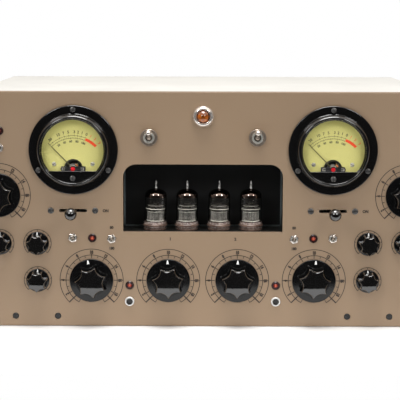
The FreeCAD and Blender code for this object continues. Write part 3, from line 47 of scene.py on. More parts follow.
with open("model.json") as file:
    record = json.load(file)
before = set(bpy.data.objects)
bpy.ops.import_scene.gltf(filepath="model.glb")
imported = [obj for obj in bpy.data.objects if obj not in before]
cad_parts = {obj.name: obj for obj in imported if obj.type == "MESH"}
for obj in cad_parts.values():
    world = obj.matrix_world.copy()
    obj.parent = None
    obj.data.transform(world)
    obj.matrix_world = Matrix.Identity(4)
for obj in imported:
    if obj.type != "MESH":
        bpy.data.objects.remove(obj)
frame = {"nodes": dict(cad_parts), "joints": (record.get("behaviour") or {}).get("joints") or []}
nodes = frame["nodes"]
joints = {each["child"]: each for each in frame["joints"]}
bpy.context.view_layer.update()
mm = 0.001
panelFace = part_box("front_panel")[0].y
sides = ("left", "right")
print("frame loaded:", len(nodes), "nodes")


def spun(angle, axis="Z", size=4):
    return Matrix.Rotation(math.radians(angle), size, axis)


def onPanel(across, up, forward=0.0, turn=0.0, lean=0.0):
    # across and up in metres, forward in millimetres from the panel's face, angles in degrees
    place = Matrix.Translation((across, panelFace - forward * mm, up))
    return place @ spun(90 - lean, "X") @ spun(turn) @ Matrix.Scale(mm, 4)


def upright(x, y, z):
    return Matrix.Translation((x, y, z)) @ Matrix.Scale(mm, 4)


def solidBoxes(node):
    # lowest and highest corner of each separate solid of a node
    bm = bmesh.new()
    bm.from_mesh(nodes[node].data)
    bmesh.ops.remove_doubles(bm, verts=bm.verts, dist=1e-6)
    boxes = []
    seen = set()
    for start in bm.verts:
        if start in seen:
            continue
        seen.add(start)
        reach = [start]
        island = [start]
        while reach:
            for edge in reach.pop().link_edges:
                for vert in edge.verts:
                    if vert not in seen:
                        seen.add(vert)
                        reach.append(vert)
                        island.append(vert)
        low = Vector([min(v.co[i] for v in island) for i in range(3)])
        high = Vector([max(v.co[i] for v in island) for i in range(3)])
        boxes.append((low, high))
    bm.free()
    return sorted(boxes, key=lambda box: (round(box[0].z, 4), box[0].x))


def middle(low, high):
    # across and up of the middle of a box
    return (low.x + high.x) / 2, (low.z + high.z) / 2


def panelCentres(node, least=0.0):
    # the middles of a node's solids that are at least so wide
    return [middle(low, high) for low, high in solidBoxes(node) if high.x - low.x > least]


def jointPlace(body):
    at = joints[body]["pos_m"]
    return at[0], at[2]


def midTravel(body):
    return sum(joints[body]["range_deg"]) / 2


def ofKind(geom, kind):
    return [each for each in geom if isinstance(each, kind)]


def outward(bm):
    bmesh.ops.recalc_face_normals(bm, faces=bm.faces)
    return bm


def moved(bm, place):
    bmesh.ops.transform(bm, matrix=place, verts=bm.verts)
    return bm


def shifted(bm, x, y, z):
    bmesh.ops.translate(bm, verts=bm.verts, vec=(x, y, z))
    return bm


def sliced(bm, at, normal, **settings):
    bmesh.ops.bisect_plane(bm, geom=bm.verts[:] + bm.edges[:] + bm.faces[:], plane_co=at, plane_no=normal, **settings)


def raisedBy(bm, rise):
    # a flat sheet drawn up into a block
    grown = bmesh.ops.extrude_face_region(bm, geom=bm.faces[:])["geom"]
    bmesh.ops.translate(bm, vec=(0, 0, rise), verts=ofKind(grown, bmesh.types.BMVert))
    return outward(bm)


def curved(across, up, wide, high, angles):
    # points on an ellipse, angles in degrees
    turns = [math.radians(angle) for angle in angles]
    return [(across + wide * math.cos(turn), up + high * math.sin(turn)) for turn in turns]


def turned(profile, steps=64, firm=0.12):
    # a shape turned about z from pairs of radius and height, its long flats kept flat by a ring near each end
    held = [profile[0]]
    for start, end in zip(profile, profile[1:]):
        long = math.dist(start, end)
        if long > 6 * firm:
            for share in (firm / long, 1 - firm / long):
                held.append(tuple(a + (b - a) * share for a, b in zip(start, end)))
        held.append(end)
    bm = bmesh.new()
    verts = [bm.verts.new((radius, 0, height)) for radius, height in held]
    edges = [bm.edges.new(pair) for pair in zip(verts, verts[1:])]
    bmesh.ops.spin(bm, geom=verts + edges, cent=(0, 0, 0), axis=(0, 0, 1), angle=math.tau, steps=steps, use_merge=True)
    bmesh.ops.remove_doubles(bm, verts=bm.verts, dist=1e-4)
    return outward(bm)


def rod(radius, low, high, steps):
    return turned([(0, low), (radius, low), (radius, high), (0, high)], steps)


def easeEdges(bm, width, segments=2, angle=30.0):
    # rounds every edge that turns by more than the angle
    sharp = [edge for edge in bm.edges if edge.is_manifold and edge.calc_face_angle(0) > math.radians(angle)]
    bmesh.ops.bevel(bm, geom=sharp, offset=width, offset_type="OFFSET", segments=segments, profile=0.5,
                    affect="EDGES", material=-1, clamp_overlap=True)
    return bm


def prism(corners, low, high):
    # an upright block on a flat outline
    bm = bmesh.new()
    bm.faces.new([bm.verts.new((x, y, low)) for x, y in corners])
    return raisedBy(bm, high - low)


def box(wide, deep, low, high, at=(0, 0)):
    x, y = at
    return prism([(x - wide / 2, y - deep / 2), (x + wide / 2, y - deep / 2),
                  (x + wide / 2, y + deep / 2), (x - wide / 2, y + deep / 2)], low, high)


def painted(bm, index):
    for face in bm.faces:
        face.material_index = index
    return bm


def meshOf(bm, name="part"):
    mesh = bpy.data.meshes.new(name)
    bm.to_mesh(mesh)
    bm.free()
    return mesh


def joined(*parts):
    # several meshes in one, each keeping its own paint
    whole = bmesh.new()
    for part in parts:
        mesh = meshOf(part)
        whole.from_mesh(mesh)
        bpy.data.meshes.remove(mesh)
    return whole


def stamped(bm, places):
    # the same shape at many places
    mesh = meshOf(bm)
    whole = bmesh.new()
    for place in places:
        copy = mesh.copy()
        copy.transform(place)
        whole.from_mesh(copy)
        bpy.data.meshes.remove(copy)
    bpy.data.meshes.remove(mesh)
    return whole


def placed(name, data):
    thing = bpy.data.objects.new(name, data)
    bpy.context.scene.collection.objects.link(thing)
    return thing


finishes = {}


def finished(name, bm, looks, body="chassis", replaces=(), smooth=32.0):
    mesh = meshOf(bm, name)
    for face in mesh.polygons:
        face.use_smooth = True
    mesh.set_sharp_from_angle(angle=math.radians(smooth))
    for look in looks:
        mesh.materials.append(finishes[look])
    piece = placed(name, mesh)
    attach(piece, body)
    if replaces:
        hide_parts(*replaces)


def node(tree, kind, **settings):
    made = tree.nodes.new(kind)
    for key, setting in settings.items():
        setattr(made, key, setting)
    return made


def wire(tree, start, end):
    tree.links.new(start, end)


def feed(tree, socket, source):
    # a plain number or colour is set on the socket, anything else is wired to it
    if isinstance(source, (int, float, tuple)):
        socket.default_value = source
    else:
        wire(tree, source, socket)


def mapped(tree, source, low, high, newLow, newHigh):
    ramp = node(tree, "ShaderNodeMapRange")
    for label, number in (("From Min", low), ("From Max", high), ("To Min", newLow), ("To Max", newHigh)):
        ramp.inputs[label].default_value = number
    wire(tree, source, ramp.inputs["Value"])
    return ramp.outputs["Result"]


def sums(tree, operation, first, second=0):
    made = node(tree, "ShaderNodeMath", operation=operation)
    feed(tree, made.inputs[0], first)
    feed(tree, made.inputs[1], second)
    return made.outputs[0]


def blend(tree, factor, first, second):
    made = node(tree, "ShaderNodeMix", data_type="RGBA")
    for index, source in ((0, factor), (6, first), (7, second)):
        feed(tree, made.inputs[index], source)
    return made.outputs[2]


def whereOn(tree):
    return node(tree, "ShaderNodeTexCoord").outputs["Object"]


def noise(tree, scale, detail, rough=0.5):
    made = node(tree, "ShaderNodeTexNoise")
    made.inputs["Detail"].default_value = detail
    made.inputs["Roughness"].default_value = rough
    wire(tree, whereOn(tree), made.inputs["Vector"])
    feed(tree, made.inputs["Scale"], scale)
    return made.outputs["Fac"]


socketKinds = {1: "NodeSocketFloat", 3: "NodeSocketVector", 4: "NodeSocketColor"}


def newGroup(name, outputs, **inputs):
    tree = bpy.data.node_groups.new(name, "ShaderNodeTree")
    for label, default in inputs.items():
        kind = socketKinds[len(default) if isinstance(default, tuple) else 1]
        tree.interface.new_socket(label, in_out="INPUT", socket_type=kind).default_value = default
    for label in outputs:
        kind = socketKinds[4 if label == "Colour" else 1]
        tree.interface.new_socket(label, in_out="OUTPUT", socket_type=kind)
    return tree, tree.nodes.new("NodeGroupInput").outputs, tree.nodes.new("NodeGroupOutput").inputs


def makeToneDrift():
    # slow drift between two tones, as sprayed and aged surfaces have
    tree, given, out = newGroup("tone drift", ["Colour"], Colour=(0.5, 0.5, 0.5, 1), Deeper=(0.3, 0.3, 0.3, 1),
                                Patches=20, Blend=0.5)
    cloud = noise(tree, given["Patches"], 4)
    share = sums(tree, "MULTIPLY", mapped(tree, cloud, 0.35, 0.68, 0, 1), given["Blend"])
    wire(tree, blend(tree, share, given["Colour"], given["Deeper"]), out["Colour"])
    return tree


def makeFineGrain():
    # small bumps, and marks that dull or polish the surface a little
    tree, given, out = newGroup("fine grain", ["Roughness", "Height"], Grain=2000, Marks=60, Rough=0.4, Spread=0.1)
    marks = noise(tree, given["Marks"], 5, 0.65)
    swing = sums(tree, "MULTIPLY", mapped(tree, marks, 0.3, 0.7, -1, 1), given["Spread"])
    wire(tree, sums(tree, "ADD", swing, given["Rough"]), out["Roughness"])
    wire(tree, noise(tree, given["Grain"], 2), out["Height"])
    return tree


def makeEdgeWear():
    # paler or barer colour where an edge has been rubbed, and on some finishes a painted highlight along the edges
    tree, given, out = newGroup("edge wear", ["Colour", "Mask"], Colour=(0.5, 0.5, 0.5, 1), Worn=(0.8, 0.8, 0.8, 1),
                                Width=0.0005, Amount=0.5)
    rounded = node(tree, "ShaderNodeBevel", samples=4)
    wire(tree, given["Width"], rounded.inputs["Radius"])
    turn = node(tree, "ShaderNodeVectorMath", operation="DOT_PRODUCT")
    wire(tree, rounded.outputs["Normal"], turn.inputs[0])
    wire(tree, node(tree, "ShaderNodeNewGeometry").outputs["Normal"], turn.inputs[1])
    edge = mapped(tree, turn.outputs["Value"], 0.99, 0.85, 0, 1)
    chipped = mapped(tree, noise(tree, 700, 4), 0.42, 0.6, 0.15, 1)
    mask = sums(tree, "MULTIPLY", sums(tree, "MULTIPLY", edge, chipped), given["Amount"])
    wire(tree, blend(tree, mask, given["Colour"], given["Worn"]), out["Colour"])
    wire(tree, mask, out["Mask"])
    return tree


def makeSettledDust():
    # dust on whatever faces up
    tree, given, out = newGroup("settled dust", ["Colour"], Colour=(0.5, 0.5, 0.5, 1), Dust=(0.6, 0.57, 0.52, 1),
                                Amount=0.3)
    facing = node(tree, "ShaderNodeSeparateXYZ")
    wire(tree, node(tree, "ShaderNodeNewGeometry").outputs["Normal"], facing.inputs[0])
    flat = mapped(tree, facing.outputs["Z"], 0.5, 1, 0, 1)
    cloud = noise(tree, 90, 6)
    mask = sums(tree, "MULTIPLY", sums(tree, "MULTIPLY", flat, cloud), given["Amount"])
    wire(tree, blend(tree, mask, given["Colour"], given["Dust"]), out["Colour"])
    return tree


toneDrift = makeToneDrift()
fineGrain = makeFineGrain()
edgeWearAndHighlight = makeEdgeWear()
settledDust = makeSettledDust()


def grouped(tree, group, **given):
    made = node(tree, "ShaderNodeGroup", node_tree=group)
    for label, setting in given.items():
        feed(tree, made.inputs[label], setting)
    return made.outputs


def full(colour):
    return (*colour, 1.0)


def newMaterial(name):
    material = bpy.data.materials.new(name)
    material.use_nodes = True
    finishes[name] = material
    return material.node_tree, material.node_tree.nodes["Principled BSDF"].inputs


def textured(tree, shader, deep, **grain):
    # grain that sets the roughness and raises small bumps
    texture = grouped(tree, fineGrain, **grain)
    wire(tree, texture["Roughness"], shader["Roughness"])
    bump = node(tree, "ShaderNodeBump")
    bump.inputs["Strength"].default_value = 1.0
    bump.inputs["Distance"].default_value = deep
    wire(tree, texture["Height"], bump.inputs["Height"])
    wire(tree, bump.outputs["Normal"], shader["Normal"])


def finish(name, colour, deeper=None, patches=30.0, drift=0.5, grain=1500.0, grainDeep=0.00002, marks=60.0, rough=0.4,
           spread=0.08, metal=0.0, coat=0.0, coatRough=0.1, specular=0.5, wear=None, wearWidth=0.0005, wearAmount=0.5,
           dust=0.0, glow=None, glowStrength=0.0, coatIor=1.5):
    # one finish: a colour that drifts, worn edges that on some finishes are a painted highlight instead, dust, grain,
    # and the shader's own plain numbers
    tree, shader = newMaterial(name)
    deeper = deeper or tuple(channel * 0.8 for channel in colour)
    tone = grouped(tree, toneDrift, Colour=full(colour), Deeper=full(deeper), Patches=patches, Blend=drift)["Colour"]
    if wear:
        tone = grouped(tree, edgeWearAndHighlight, Colour=tone, Worn=full(wear), Width=wearWidth, Amount=wearAmount)["Colour"]
    if dust:
        tone = grouped(tree, settledDust, Colour=tone, Amount=dust)["Colour"]
    wire(tree, tone, shader["Base Color"])
    textured(tree, shader, grainDeep, Grain=grain, Marks=marks, Rough=rough, Spread=spread)
    for label, number in (("Metallic", metal), ("Coat Weight", coat), ("Coat Roughness", coatRough),
                          ("Coat IOR", coatIor), ("Specular IOR Level", specular)):
        shader[label].default_value = number
    if glow:
        shader["Emission Color"].default_value = full(glow)
        shader["Emission Strength"].default_value = glowStrength


def mixedBy(tree, ray, otherwise, chosen):
    # one shader for a kind of ray, another for the rest
    either = node(tree, "ShaderNodeMixShader")
    wire(tree, node(tree, "ShaderNodeLightPath").outputs[ray], either.inputs[0])
    wire(tree, otherwise, either.inputs[1])
    wire(tree, chosen, either.inputs[2])
    return either.outputs[0]


def clearGlass(name, tint, rough=0.02, ior=1.5):
    # glass that lets the lamps through to what stands inside it
    tree, shader = newMaterial(name)
    deeper = full(tuple(channel * 0.96 for channel in tint))
    tone = grouped(tree, toneDrift, Colour=full(tint), Deeper=deeper, Patches=80.0, Blend=0.5)["Colour"]
    wire(tree, tone, shader["Base Color"])
    textured(tree, shader, 0.000004, Grain=300.0, Marks=40.0, Rough=rough, Spread=rough * 0.6)
    shader["Metallic"].default_value = 0.0
    shader["Transmission Weight"].default_value = 1.0
    shader["IOR"].default_value = ior
    through = node(tree, "ShaderNodeBsdfTransparent")
    through.inputs["Color"].default_value = full(tint)
    solid = tree.nodes["Principled BSDF"].outputs[0]
    either = mixedBy(tree, "Is Shadow Ray", solid, through.outputs[0])
    wire(tree, either, tree.nodes["Material Output"].inputs["Surface"])


finish("panelPaint", (0.226, 0.153, 0.093), (0.214, 0.143, 0.086), 7, drift=0.6, grain=2200, grainDeep=0.00003,
       marks=25, rough=0.42, spread=0.05, wear=(0.46, 0.37, 0.28), wearWidth=0.0006, wearAmount=0.35, dust=0.1)
finish("casePaint", (0.79, 0.77, 0.72), (0.75, 0.73, 0.675), 6, grain=1800, grainDeep=0.00004, marks=18, rough=0.45,
       spread=0.06, wear=(0.5, 0.49, 0.47), wearWidth=0.0006, wearAmount=0.3, dust=0.15)
finish("darkSteel", (0.035, 0.034, 0.034), grain=900, grainDeep=0.00003, rough=0.42, metal=0.6,
       wear=(0.3, 0.29, 0.28), wearWidth=0.0003)
# the pale blue-grey edge colour is a painted highlight along the bay's edges and folds
finish("bayPaint", (0.0028, 0.0031, 0.0032), (0.005, 0.005, 0.005), 15, grain=1200, grainDeep=0.00004, spread=0.1,
       wear=(0.13, 0.15, 0.15), wearWidth=0.0014, wearAmount=0.9, dust=0.05)
# pale blue-grey strips on the black bay's folds: a painted highlight
finish("bayFold", (0.12, 0.14, 0.14), (0.05, 0.06, 0.06), 60, grain=1200, rough=0.3)
# the pale edge colour on the sockets is a painted highlight on their rings
finish("socketCeramic", (0.2, 0.13, 0.1), (0.05, 0.026, 0.02), 150, drift=0.9, grain=900, grainDeep=0.00001,
       rough=0.12, spread=0.05, coat=1.0, coatRough=0.04, wear=(0.8, 0.68, 0.62), wearWidth=0.0006, wearAmount=0.8)
clearGlass("valveGlass", (0.97, 0.965, 0.95), rough=0.01)
finish("getterFlash", (0.36, 0.29, 0.26), (0.08, 0.05, 0.04), 160, drift=0.8, grain=600, grainDeep=0.0, rough=0.035,
       spread=0.01, metal=1.0)
clearGlass("smokedGlass", (0.42, 0.31, 0.23))
# the valve's clear glass tip drawn opaque grey, with patches near black: a painted glint of the glass
finish("tipGlass", (0.5, 0.48, 0.45), (0.05, 0.048, 0.045), 420, drift=1.0, grain=900, grainDeep=0.00003, rough=0.1,
       coat=1.0, coatRough=0.03)
finish("mica", (0.1, 0.085, 0.07), (0.05, 0.042, 0.035), 300, grain=2500, rough=0.3, spread=0.1, coat=0.4)
# the discs' edges painted near white, far paler than their faces: a painted highlight on the same mica
finish("micaRim", (0.92, 0.88, 0.8), (0.6, 0.57, 0.5), 380, grain=2500, rough=0.3, spread=0.1)
# the pale edge colour on the anodes is a painted highlight along their edges
finish("anodeMetal", (0.34, 0.325, 0.3), (0.1, 0.096, 0.092), 320, drift=0.8, grain=2600, grainDeep=0.00006,
       rough=0.36, metal=0.5, wear=(0.75, 0.73, 0.68), wearWidth=0.0003, wearAmount=0.8)
finish("valveWire", (0.62, 0.6, 0.57), rough=0.22, metal=1.0)
finish("bakelite", (0.0018, 0.0018, 0.002), (0.003, 0.0028, 0.0028), 50, grain=1400, grainDeep=0.000002, marks=45,
       rough=0.1, spread=0.03, specular=0.42, coat=0.9, coatRough=0.05, wear=(0.05, 0.048, 0.045), wearWidth=0.0004,
       wearAmount=0.4)
clearGlass("meterGlass", (0.985, 0.99, 0.98), rough=0.01, ior=1.3)
finish("movementMetal", (0.1, 0.094, 0.086), grain=1600, rough=0.35, metal=0.7, wear=(0.4, 0.39, 0.36))
finish("bridgeMetal", (0.02, 0.02, 0.021), grain=1600, rough=0.3, metal=0.4)
finish("platedSteel", (0.46, 0.44, 0.39), (0.3, 0.29, 0.26), 300, grain=1800, rough=0.3, spread=0.1, metal=0.6,
       wear=(0.8, 0.79, 0.77), wearWidth=0.0002, wearAmount=0.6)
finish("screwSteel", (0.15, 0.145, 0.14), (0.08, 0.078, 0.075), 300, grain=1800, rough=0.3, spread=0.1, metal=0.7,
       wear=(0.55, 0.54, 0.51), wearWidth=0.0003, wearAmount=0.8)
finish("slotShade", (0.012, 0.011, 0.01), grain=1800, rough=0.5)
finish("redLens", (0.07, 0.005, 0.004), (0.06, 0.004, 0.003), 400, rough=0.14, coat=0.3, glow=(1.0, 0.05, 0.02),
       glowStrength=0.01)
finish("redCore", (0.13, 0.014, 0.013), (0.1, 0.01, 0.01), 500, rough=0.2, coat=0.2, glow=(1.0, 0.14, 0.12),
       glowStrength=0.01)
finish("litLens", (0.15, 0.012, 0.006), (0.14, 0.01, 0.005), 400, rough=0.14, coat=0.3, glow=(1.0, 0.07, 0.02),
       glowStrength=0.05)
finish("litCore", (0.32, 0.055, 0.02), (0.26, 0.04, 0.015), 500, rough=0.2, coat=0.2, glow=(1.0, 0.17, 0.05),
       glowStrength=0.16)
finish("lampRing", (0.02, 0.006, 0.005), (0.012, 0.004, 0.004), 200, rough=0.25, spread=0.05,
       wear=(0.09, 0.05, 0.045), wearWidth=0.0004)
# the red jewel's glow is painted light; it holds no lamp
finish("jewelRed", (0.5, 0.012, 0.02), (0.35, 0.008, 0.012), 500, rough=0.15, coat=0.8, coatRough=0.05,
       glow=(1.0, 0.02, 0.03), glowStrength=0.06)
# patches from amber to near black stand in for the facets' light and shade: painted light and shade
finish("amberLens", (0.36, 0.085, 0.004), (0.012, 0.002, 0.001), 300, drift=1.0, rough=0.08, coat=1.0, coatRough=0.03,
       glow=(1.0, 0.25, 0.02), glowStrength=0.03)
finish("chrome", (0.88, 0.82, 0.76), (0.78, 0.71, 0.65), 80, grain=900, grainDeep=0.000003, rough=0.07, spread=0.03,
       metal=0.86)
finish("satinNickel", (0.84, 0.83, 0.81), (0.7, 0.69, 0.67), 200, grain=1200, grainDeep=0.000006, rough=0.3,
       spread=0.05, metal=0.45)
# chrome in a brown-grey colour with a large diffuse share: its colour is a painted reflection of the brownish room, on
# the same chrome as the bright parts
finish("darkChrome", (0.4, 0.33, 0.27), (0.22, 0.18, 0.15), 200, grain=900, grainDeep=0.000006, rough=0.16,
       spread=0.05, metal=0.7)
finish("transformerSteel", (0.03, 0.03, 0.035), grain=700, grainDeep=0.00005, coat=0.3, wear=(0.3, 0.28, 0.26),
       wearWidth=0.0008, wearAmount=0.4, dust=0.2)
finish("board", (0.015, 0.1, 0.035), (0.02, 0.14, 0.05), 120, grain=900, rough=0.32, coat=0.4, dust=0.2)
finish("capacitorSleeve", (0.01, 0.014, 0.06), grain=900, rough=0.25, coat=0.4, dust=0.2)
finish("knobBakelite", (0.0016, 0.0016, 0.0018), (0.003, 0.0028, 0.0026), 60, grain=1200, grainDeep=0.000003,
       rough=0.06, spread=0.02, coat=1.0, coatRough=0.04, coatIor=1.75, wear=(0.03, 0.029, 0.028), wearWidth=0.0004,
       wearAmount=0.2)
finish("skirtBakelite", (0.002, 0.002, 0.0022), (0.004, 0.0038, 0.0036), 90, grain=1600, grainDeep=0.000008,
       rough=0.14, spread=0.04, wear=(0.06, 0.058, 0.055))
finish("buttonCap", (0.02, 0.0195, 0.019), rough=0.3, specular=0.35)
finish("copperWire", (0.7, 0.25, 0.1), rough=0.3, metal=0.6)
finish("needleMetal", (0.12, 0.11, 0.05), metal=0.3)
finish("pointerPaint", (0.86, 0.85, 0.81), (0.75, 0.73, 0.68), 400, grain=2500)
finish("panelInk", (0.014, 0.008, 0.005), (0.03, 0.018, 0.011), 300, grain=2500, rough=0.5)
finish("dialInk", (0.06, 0.055, 0.025), (0.09, 0.08, 0.035), 400, grain=2500, rough=0.6)
finish("dialRed", (0.8, 0.055, 0.008), (0.7, 0.045, 0.006), 300, grain=2500, rough=0.5)
finish("bareMetal", (0.5, 0.47, 0.42), rough=0.3, metal=0.5, wear=(0.9, 0.88, 0.85))


# metres from and to, and the shares they're mapped to; the first two set the painted olive shade towards the dial's
# rim and upper edge, the third and the glow set a painted light that brightens the card towards its top
dial = {"rim": (0.021, 0.0295, 0, 0.3), "top": (0.014, 0.029, 0, 0.05), "lit": (-0.004, 0.026, 0.05, 1), "glow": 0.2,
        "olive": (0.36, 0.34, 0.07, 1)}


def makeDialFace(across, up):
    # warm yellow card with painted shade, olive towards its rim and upper edge, and painted light: the card itself
    # glows more towards its top, though it holds no lamp
    finish("dialFace", (0.54, 0.495, 0.172), (0.515, 0.47, 0.16), 40, drift=0.6, grain=2600, rough=0.6, spread=0.04)
    tree = finishes["dialFace"].node_tree
    shader = tree.nodes["Principled BSDF"].inputs
    plain = shader["Base Color"].links[0].from_socket
    parts = node(tree, "ShaderNodeSeparateXYZ")
    wire(tree, whereOn(tree), parts.inputs[0])
    x = sums(tree, "SUBTRACT", sums(tree, "ABSOLUTE", parts.outputs["X"]), abs(across))
    z = sums(tree, "SUBTRACT", parts.outputs["Z"], up)
    r = sums(tree, "SQRT", sums(tree, "ADD", sums(tree, "MULTIPLY", x, x), sums(tree, "MULTIPLY", z, z)))
    # painted shade: olive towards the rim and towards the upper edge
    rim = mapped(tree, r, *dial["rim"])
    top = mapped(tree, z, *dial["top"])
    card = blend(tree, sums(tree, "MINIMUM", sums(tree, "ADD", rim, top), 1.0), plain, dial["olive"])
    wire(tree, card, shader["Base Color"])
    # painted light: an emission that grows towards the card's top
    lit = mapped(tree, z, *dial["lit"])
    wire(tree, blend(tree, lit, (0, 0, 0, 1), card), shader["Emission Color"])
    shader["Emission Strength"].default_value = dial["glow"]


meterCentres = panelCentres("meter_bezels", 0.05)
makeDialFace(*meterCentres[0])
# the lever's steel also takes the brownish chrome with its painted reflection
finishes["leverSteel"] = finishes["darkChrome"]


def layFinishes():
    # the finish of a solid's slot has the slot's name; the indicators' rings have their own
    for name, thing in nodes.items():
        for held in thing.material_slots:
            label = held.material.name.split(".")[0].title().replace("_", "")
            held.material = finishes["lampRing" if name == "indicator_bezels" else label[0].lower() + label[1:]]
    print("finishes laid on the solids")


layFinishes()


largeKnob = {"skirt": 20.5, "gap": 0.6, "edge": 2.0, "slope": 0.25, "tip": 15.0, "waist": 11.3, "flute": 8.6,
             "draft": 0.1, "high": 16.0, "flutes": 7, "round": 3.2, "dome": 0.0026, "pointer": (16.1, 19.5, 2.3, 0.8)}
smallKnob = {"skirt": 10.9, "gap": 0.6, "edge": 1.4, "slope": 0.25, "tip": 9.3, "waist": 7.4, "flute": 4.8,
             "draft": 0.08, "high": 14.0, "flutes": 7, "round": 1.5, "dome": 0.006, "pointer": (8.0, 10.5, 1.5, 0.7)}
largeBodies = [body for body in joints if "_knob" in body and "small" not in body]
smallBodies = [body for body in joints if "_knob" in body and "small" in body]


def scalloped(angle, look):
    # how far out the body reaches at an angle, soft at the tips between two flutes
    step = math.tau / look["flutes"]
    off = (angle - math.pi / 2 + step / 2) % step - step / 2
    far = look["waist"] + look["flute"]
    inside = look["flute"] ** 2 - (far * math.sin(off)) ** 2
    reach = far * math.cos(off) - math.sqrt(inside) if inside > 0 else look["tip"] * 2
    soft = 22.0
    return -math.log(math.exp(-soft * reach / look["tip"]) + math.exp(-soft)) / soft * look["tip"]


def flutedBody(look, steps=196):
    # drafted scalloped wall, a small round at its top edge, and a shallow dome
    low = look["gap"] + look["edge"] - 0.2
    top, soft, draft, tip = look["high"], look["round"], look["draft"], look["tip"]
    wall = top - soft - look["dome"] * tip ** 2
    # height, share of the outline, and drop below the dome where there's no height
    rings = [(low, 1 + draft, 0), (low + 0.6, 1 + draft * 0.8, 0), (low + (wall - low) * 0.5, 1 + draft * 0.35, 0),
             (wall - 0.3, 1.0, 0)]
    shrink = soft / tip
    rings += [(None, 1 - shrink + x, soft - y) for x, y in curved(0, 0, shrink, soft, range(0, 91, 18))]
    rings += [(None, share, 0) for share in (0.92, 0.9, 0.8, 0.66, 0.5, 0.34, 0.18, 0.06)]
    bm = bmesh.new()
    ring = bmesh.ops.create_circle(bm, cap_ends=True, radius=1, segments=steps)["verts"]
    edges = bm.edges[:]
    for index, (height, share, drop) in enumerate(rings):
        if index:
            grown = bmesh.ops.extrude_edge_only(bm, edges=edges)["geom"]
            edges = [each for each in ofKind(grown, bmesh.types.BMEdge)
                     if all(vert in grown for vert in each.verts) and len(each.link_faces) == 1]
            ring = ofKind(grown, bmesh.types.BMVert)
        for vert in ring:
            angle = math.atan2(vert.co.y, vert.co.x)
            reach = scalloped(angle, look) * share
            rise = top - look["dome"] * reach ** 2 - drop if height is None else height
            vert.co = (reach * math.cos(angle), reach * math.sin(angle), rise)
    bmesh.ops.contextual_create(bm, geom=edges)
    return outward(bm)


def pointerMark(look):
    # white wedge inlaid in the skirt's face
    near, far, wide, narrow = look["pointer"]
    rise = look["gap"] + look["edge"]
    fall = look["slope"] / (look["skirt"] - look["tip"])
    outline = [(-wide / 2, near), (wide / 2, near), (narrow / 2, far), (-narrow / 2, far)]
    wedge = prism(outline, rise - 0.3, rise + 0.08)
    for vert in wedge.verts:
        vert.co.z += fall * (look["skirt"] - vert.co.y)
    return painted(wedge, 1)


def knobShape(look):
    base, rim, tip = look["gap"], look["skirt"], look["tip"]
    edge = base + look["edge"]
    inner = edge + look["slope"]
    skirt = turned([(0, base + 1), (rim * 0.6, base + 0.2), (rim - 0.2, base), (rim, base + 0.2), (rim, edge - 0.7),
                    (rim - 0.06, edge - 0.4), (rim - 0.22, edge - 0.17), (rim - 0.45, edge - 0.04),
                    (rim - 0.75, edge + 0.03), (tip, inner), (0, inner + 0.02)], steps=96)
    return joined(painted(skirt, 2), flutedBody(look), pointerMark(look))


def makeKnobs():
    # a pointer is upright at the middle of its travel
    for body in joints:
        if "_knob" in body:
            name = body.replace("_body", "")
            place = onPanel(*jointPlace(body), turn=-midTravel(body))
            shape = moved(knobShape(largeKnob if body in largeBodies else smallKnob), place)
            finished(name + "_moulding", shape, ["knobBakelite", "pointerPaint", "skirtBakelite"],
                     body, replaces=[name], smooth=50)
    print("knobs moulded:", len(largeBodies + smallBodies))


dialPrint = {"outer": 29.7, "inner": 24.05, "line": 0.68, "start": 225, "end": -45, "endFrom": 20.9, "past": 15,
             "numeral": 3.0, "numeralAt": 26.8}
smallPrint = {"ring": 12.9, "line": 0.62, "tickTo": 11.6}
legend = {"lift": 0.03, "on": 0.0305, "above": 0.0105, "below": -0.0092, "channel": (0.0305, 0.0836)}


def faceUp(bm):
    bm.normal_update()
    down = [face for face in bm.faces if face.normal.z < 0]
    if down:
        bmesh.ops.reverse_faces(bm, faces=down)
    return bm


def arcBand(inner, outer, start, end, steps=72):
    # flat strip along an arc, angles in degrees anticlockwise from across
    bm = bmesh.new()
    first = [bm.verts.new((inner, 0, 0)), bm.verts.new((outer, 0, 0))]
    edge = bm.edges.new(first)
    bmesh.ops.rotate(bm, verts=first, cent=(0, 0, 0), matrix=spun(start, size=3))
    bmesh.ops.spin(bm, geom=first + [edge], cent=(0, 0, 0), axis=(0, 0, 1), angle=math.radians(end - start),
                   steps=steps, use_merge=False)
    return faceUp(bm)


def stroke(angle, near, far, wide):
    # straight mark along a radius
    bm = bmesh.new()
    half = wide / 2
    bm.faces.new([bm.verts.new(co) for co in ((near, -half, 0), (far, -half, 0), (far, half, 0), (near, half, 0))])
    return moved(bm, spun(angle))


def numeral(text, high, bold=0.09, narrow=0.95):
    # upright figures about their own middle, made a mesh before they are placed
    curve = bpy.data.curves.new("figure", "FONT")
    curve.body = text
    curve.size = high / 0.72
    curve.align_x = "CENTER"
    curve.offset = bold * high
    curve.fill_mode = "FRONT"
    curve.resolution_u = 3
    written = placed("figure", curve)
    bpy.context.view_layer.update()
    mesh = bpy.data.meshes.new_from_object(written)
    bm = bmesh.new()
    bm.from_mesh(mesh)
    bpy.data.objects.remove(written)
    bpy.data.meshes.remove(mesh)
    bpy.data.curves.remove(curve)
    bmesh.ops.scale(bm, verts=bm.verts, vec=(narrow, 1, 1))
    return faceUp(shifted(bm, 0, -high / 2, 0))


def roundNumeral(text, high, radius, angle, bold=0.03, narrow=1.0):
    # figures that stand on a circle, heads outwards
    return moved(shifted(numeral(text, high, bold, narrow), 0, radius, 0), spun(angle - 90))


